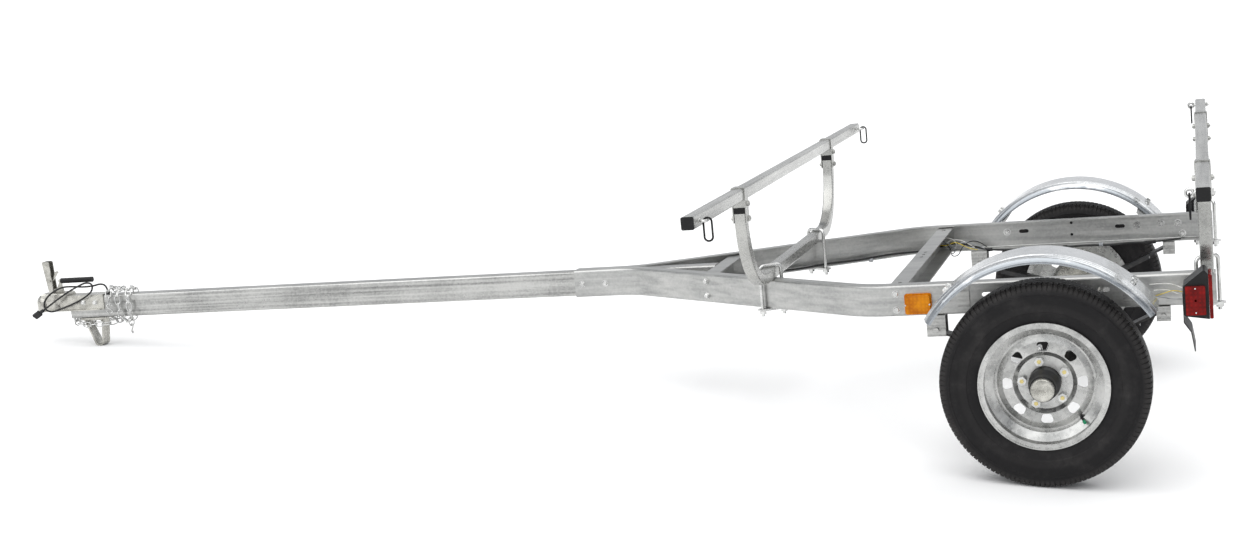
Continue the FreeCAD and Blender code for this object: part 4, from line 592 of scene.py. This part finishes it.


# The painted reflection on the beads takes the sheet most of the way to its dark bluish shade.
sheet_zinc = galvanised(
    "rolled_sheet", (0.30, 0.32, 0.34), (0.90, 0.91, 0.915), 260.0, 0.1, (0.2, 0.6, 0.2), 0.8, bead_painted_reflection
)
fender_bolts = bmesh.new()
for side, name in ((-1, "left"), (1, "right")):
    dress(sheet_zinc, "fender_zinc", name + "_fender")
    dress(dull_zinc, "galvanised", name + "_fender_brackets")
    for angle in bracket_angles:
        out = Vector((math.sin(math.radians(angle)), 0, math.cos(math.radians(angle))))
        for across in (0.676, 0.732):
            top = out * fender_radius + Vector((0, side * across, 0))
            add_bolt(fender_bolts, top, out, across=0.012, washer=0.0085)
add_piece("fender_bolts", fender_bolts, bright_zinc)

# The load rack has a bent U-tube at each end, clamped down to the rails by square U-bolts, and a square
# cross bar strapped to the tops of its posts. Moulded caps close the ends.
bar_zinc = galvanised(
    "tube_zinc", (0.22, 0.222, 0.215), (0.58, 0.58, 0.56), 230.0, 0.22, (0.012, 0.4, 0.012), 0.6
)
dress(bar_zinc, "galvanised", "front_bar", "rear_bar")
bent_zinc = galvanised(
    "bent_tube_zinc", (0.17, 0.172, 0.165), (0.50, 0.50, 0.48), 230.0, 0.2, (0.10, 0.16, 0.16), 0.7
)
dress(bent_zinc, "galvanised", "front_lower_tube", "rear_lower_tube", "front_bar_clamps", "rear_bar_clamps")
dress(bright_zinc, "bright_zinc", "front_tube_bolts", "rear_tube_bolts")
dress(moulded_black, "black_plastic", "post_caps", "bar_caps")

# Tie-down eye bolts pass through the cross bars near their ends, each with a black coated ring.
black_coat, shader, place = new_finish("black_coat", {"Specular IOR Level": 0.2})
chips = grain(place, 120.0, 4.0, 0.7).above(0.6, 0.8)
feed(
    shader,
    Base_Color=chips.tint((0.006, 0.006, 0.0065), (0.05, 0.05, 0.05)),
    Roughness=0.45 + chips * 0.3,
    Normal=bumped(grain(place, 500.0), 0.0002),
)
dress(bright_zinc, "bright_zinc", "eye_bolts")
dress(black_coat, "black_steel", "tie_rings", "plate_bracket")

# Each side has an amber marker lamp on its rail in front of the wheel and a red tail lamp behind it. The
# lenses are clear coloured plastic with a faint moulded grid inside, held by small screws.
marker_screws = (-0.363, -0.299)
marker_height = 0.186
tail_middle = 0.3745
tail_height = 0.204
tail_screws = (tail_height - 0.030, tail_height + 0.030)


def lens_finish(name, deep, lit):
    """Coloured plastic between its deep shade and its lit one."""
    gloss = {"Specular IOR Level": 0.14, "Coat Weight": 0.03, "Coat Roughness": 0.1}
    material, shader, place = new_finish(name, gloss)
    flat = stretched(place, (0.0105, 0.0105, 0.0105))
    inputs = {"Vector": flat, "Scale": 0.32, "Distortion": 0.0}
    upright = flat.node("ShaderNodeTexWave", {"bands_direction": "X"}, inputs, 1)
    level = flat.node("ShaderNodeTexWave", {"bands_direction": "Z"}, inputs, 1)
    grid = upright * level
    depth = grain(place, 36.0, 3.0)
    feed(
        shader,
        Base_Color=(grid * 0.12 + depth * 0.88).above(0.25, 0.72).tint(deep, lit),
        Roughness=0.14 + grid * 0.08,
        Normal=bumped(grid, 0.0002, 0.2),
    )
    return material


amber = lens_finish("amber_lens", (0.38, 0.10, 0.0005), (0.62, 0.225, 0.002))
red = lens_finish("red_lens", (0.075, 0.001, 0.001), (0.22, 0.003, 0.002))
dress(amber, "amber_lens", "marker_lamps")
dress(moulded_black, "black_plastic", "tail_housings")
dress(red, "red_lens", "tail_lenses")
dress(bright_zinc, "bright_zinc", "tail_brackets")
screws = bmesh.new()
ribs = bmesh.new()
marker_face = max(abs(corner[1]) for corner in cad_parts["marker_lamps"].bound_box)
lens_face = max(abs(corner[1]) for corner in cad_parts["tail_lenses"].bound_box)
for side in (-1, 1):
    for along in marker_screws:
        base = stand((along, side * (marker_face - 0.001), marker_height), (0, side, 0))
        add_disc(screws, base, 0.003, 0, 0.0018, top=0.6)
    for height in tail_screws:
        base = stand((tail_middle, side * (lens_face - 0.001), height), (0, side, 0))
        add_disc(screws, base, 0.0028, 0, 0.0018, top=0.6)
    base = stand((tail_middle, side * (lens_face - 0.0004), tail_height), (0, side, 0))
    for width, tall in ((0.024, 0.005), (0.005, 0.020)):
        bmesh.ops.create_cube(ribs, size=1.0, matrix=base @ Matrix.Diagonal((width, tall, 0.0016, 1)))
add_piece("lens_screws", screws, bright_zinc)
add_piece("lens_ribs", ribs, red)
tail_wires = (
    (white_wire, 0.0026, [
        (0.350, 0.640, 0.212), (0.326, 0.590, 0.216), (0.300, 0.556, 0.214), (0.262, 0.551, 0.212),
    ]),
    (white_wire, 0.0024, [
        (0.350, 0.640, 0.196), (0.330, 0.584, 0.190), (0.305, 0.555, 0.200), (0.272, 0.551, 0.196),
    ]),
    (yellow_wire, 0.0022, [
        (0.350, 0.640, 0.204), (0.322, 0.582, 0.202), (0.296, 0.556, 0.188), (0.276, 0.551, 0.182),
    ]),
    (grey_wire, 0.0022, [
        (0.350, 0.640, 0.188), (0.328, 0.590, 0.178), (0.300, 0.555, 0.176), (0.262, 0.551, 0.184),
    ]),
)
for side, name in ((-1, "left"), (1, "right")):
    for count, (material, thickness, route) in enumerate(tail_wires):
        turned = [(along, side * across, height) for along, across, height in route]
        add_wire(f"{name}_lamp_wire_{count + 1}", turned, thickness, material)

# A plain pale studio floor, an even soft light from above in front, and a studio that darkens to its
# walls, so that the zinc has something dark to mirror.
floor_shape = bmesh.new()
bmesh.ops.create_grid(floor_shape, x_segments=1, y_segments=1, size=60)
floor_mesh = bpy.data.meshes.new("floor")
floor_shape.to_mesh(floor_mesh)
floor_shape.free()
floor = bpy.data.objects.new("floor", floor_mesh)
bpy.context.scene.collection.objects.link(floor)
paper, shader, place = new_finish("studio_paper", {"Roughness": 0.9, "Specular IOR Level": 0.1})
feed(shader, Base_Color=grain(place, 0.7).tint((0.90, 0.90, 0.90), (0.92, 0.92, 0.92)))
floor_mesh.materials.append(paper)

studio = bpy.data.worlds.new("studio")
studio.use_nodes = True
bpy.context.scene.world = studio
sky = Wire(studio.node_tree)
backdrop = studio.node_tree.nodes["Background"]
around = sky.node("ShaderNodeTexCoord", {}, {}, "Generated")
rise = around.node("ShaderNodeSeparateXYZ", {}, {0: around}, 2)
glow = rise.node(
    "ShaderNodeValToRGB",
    {"stops": [
        (0.0, (0.86, 0.87, 0.88)),
        (0.12, (0.66, 0.67, 0.69)),
        (0.28, (0.90, 0.91, 0.93)),
        (0.40, (0.20, 0.22, 0.25)),
        (0.56, (0.26, 0.28, 0.31)),
        (0.68, (1.0, 1.0, 1.0)),
        (1.0, (1.0, 1.0, 1.0)),
    ]},
    {0: rise},
)
studio.node_tree.links.new(glow.socket, backdrop.inputs["Color"])
backdrop.inputs["Strength"].default_value = 0.95


def soft_sun(name, direction, angle, strength):
    """A wide, even light from one side."""
    lamp = bpy.data.lights.new(name, "SUN")
    lamp.angle = math.radians(angle)
    lamp.energy = strength
    holder = bpy.data.objects.new(name, lamp)
    holder.rotation_euler = Vector(direction).to_track_quat("-Z", "Y").to_euler()
    bpy.context.scene.collection.objects.link(holder)


soft_sun("key", (0.35, 0.75, -1.0), 80, 2.2)
soft_sun("back", (-0.4, -0.7, -0.9), 50, 0.6)
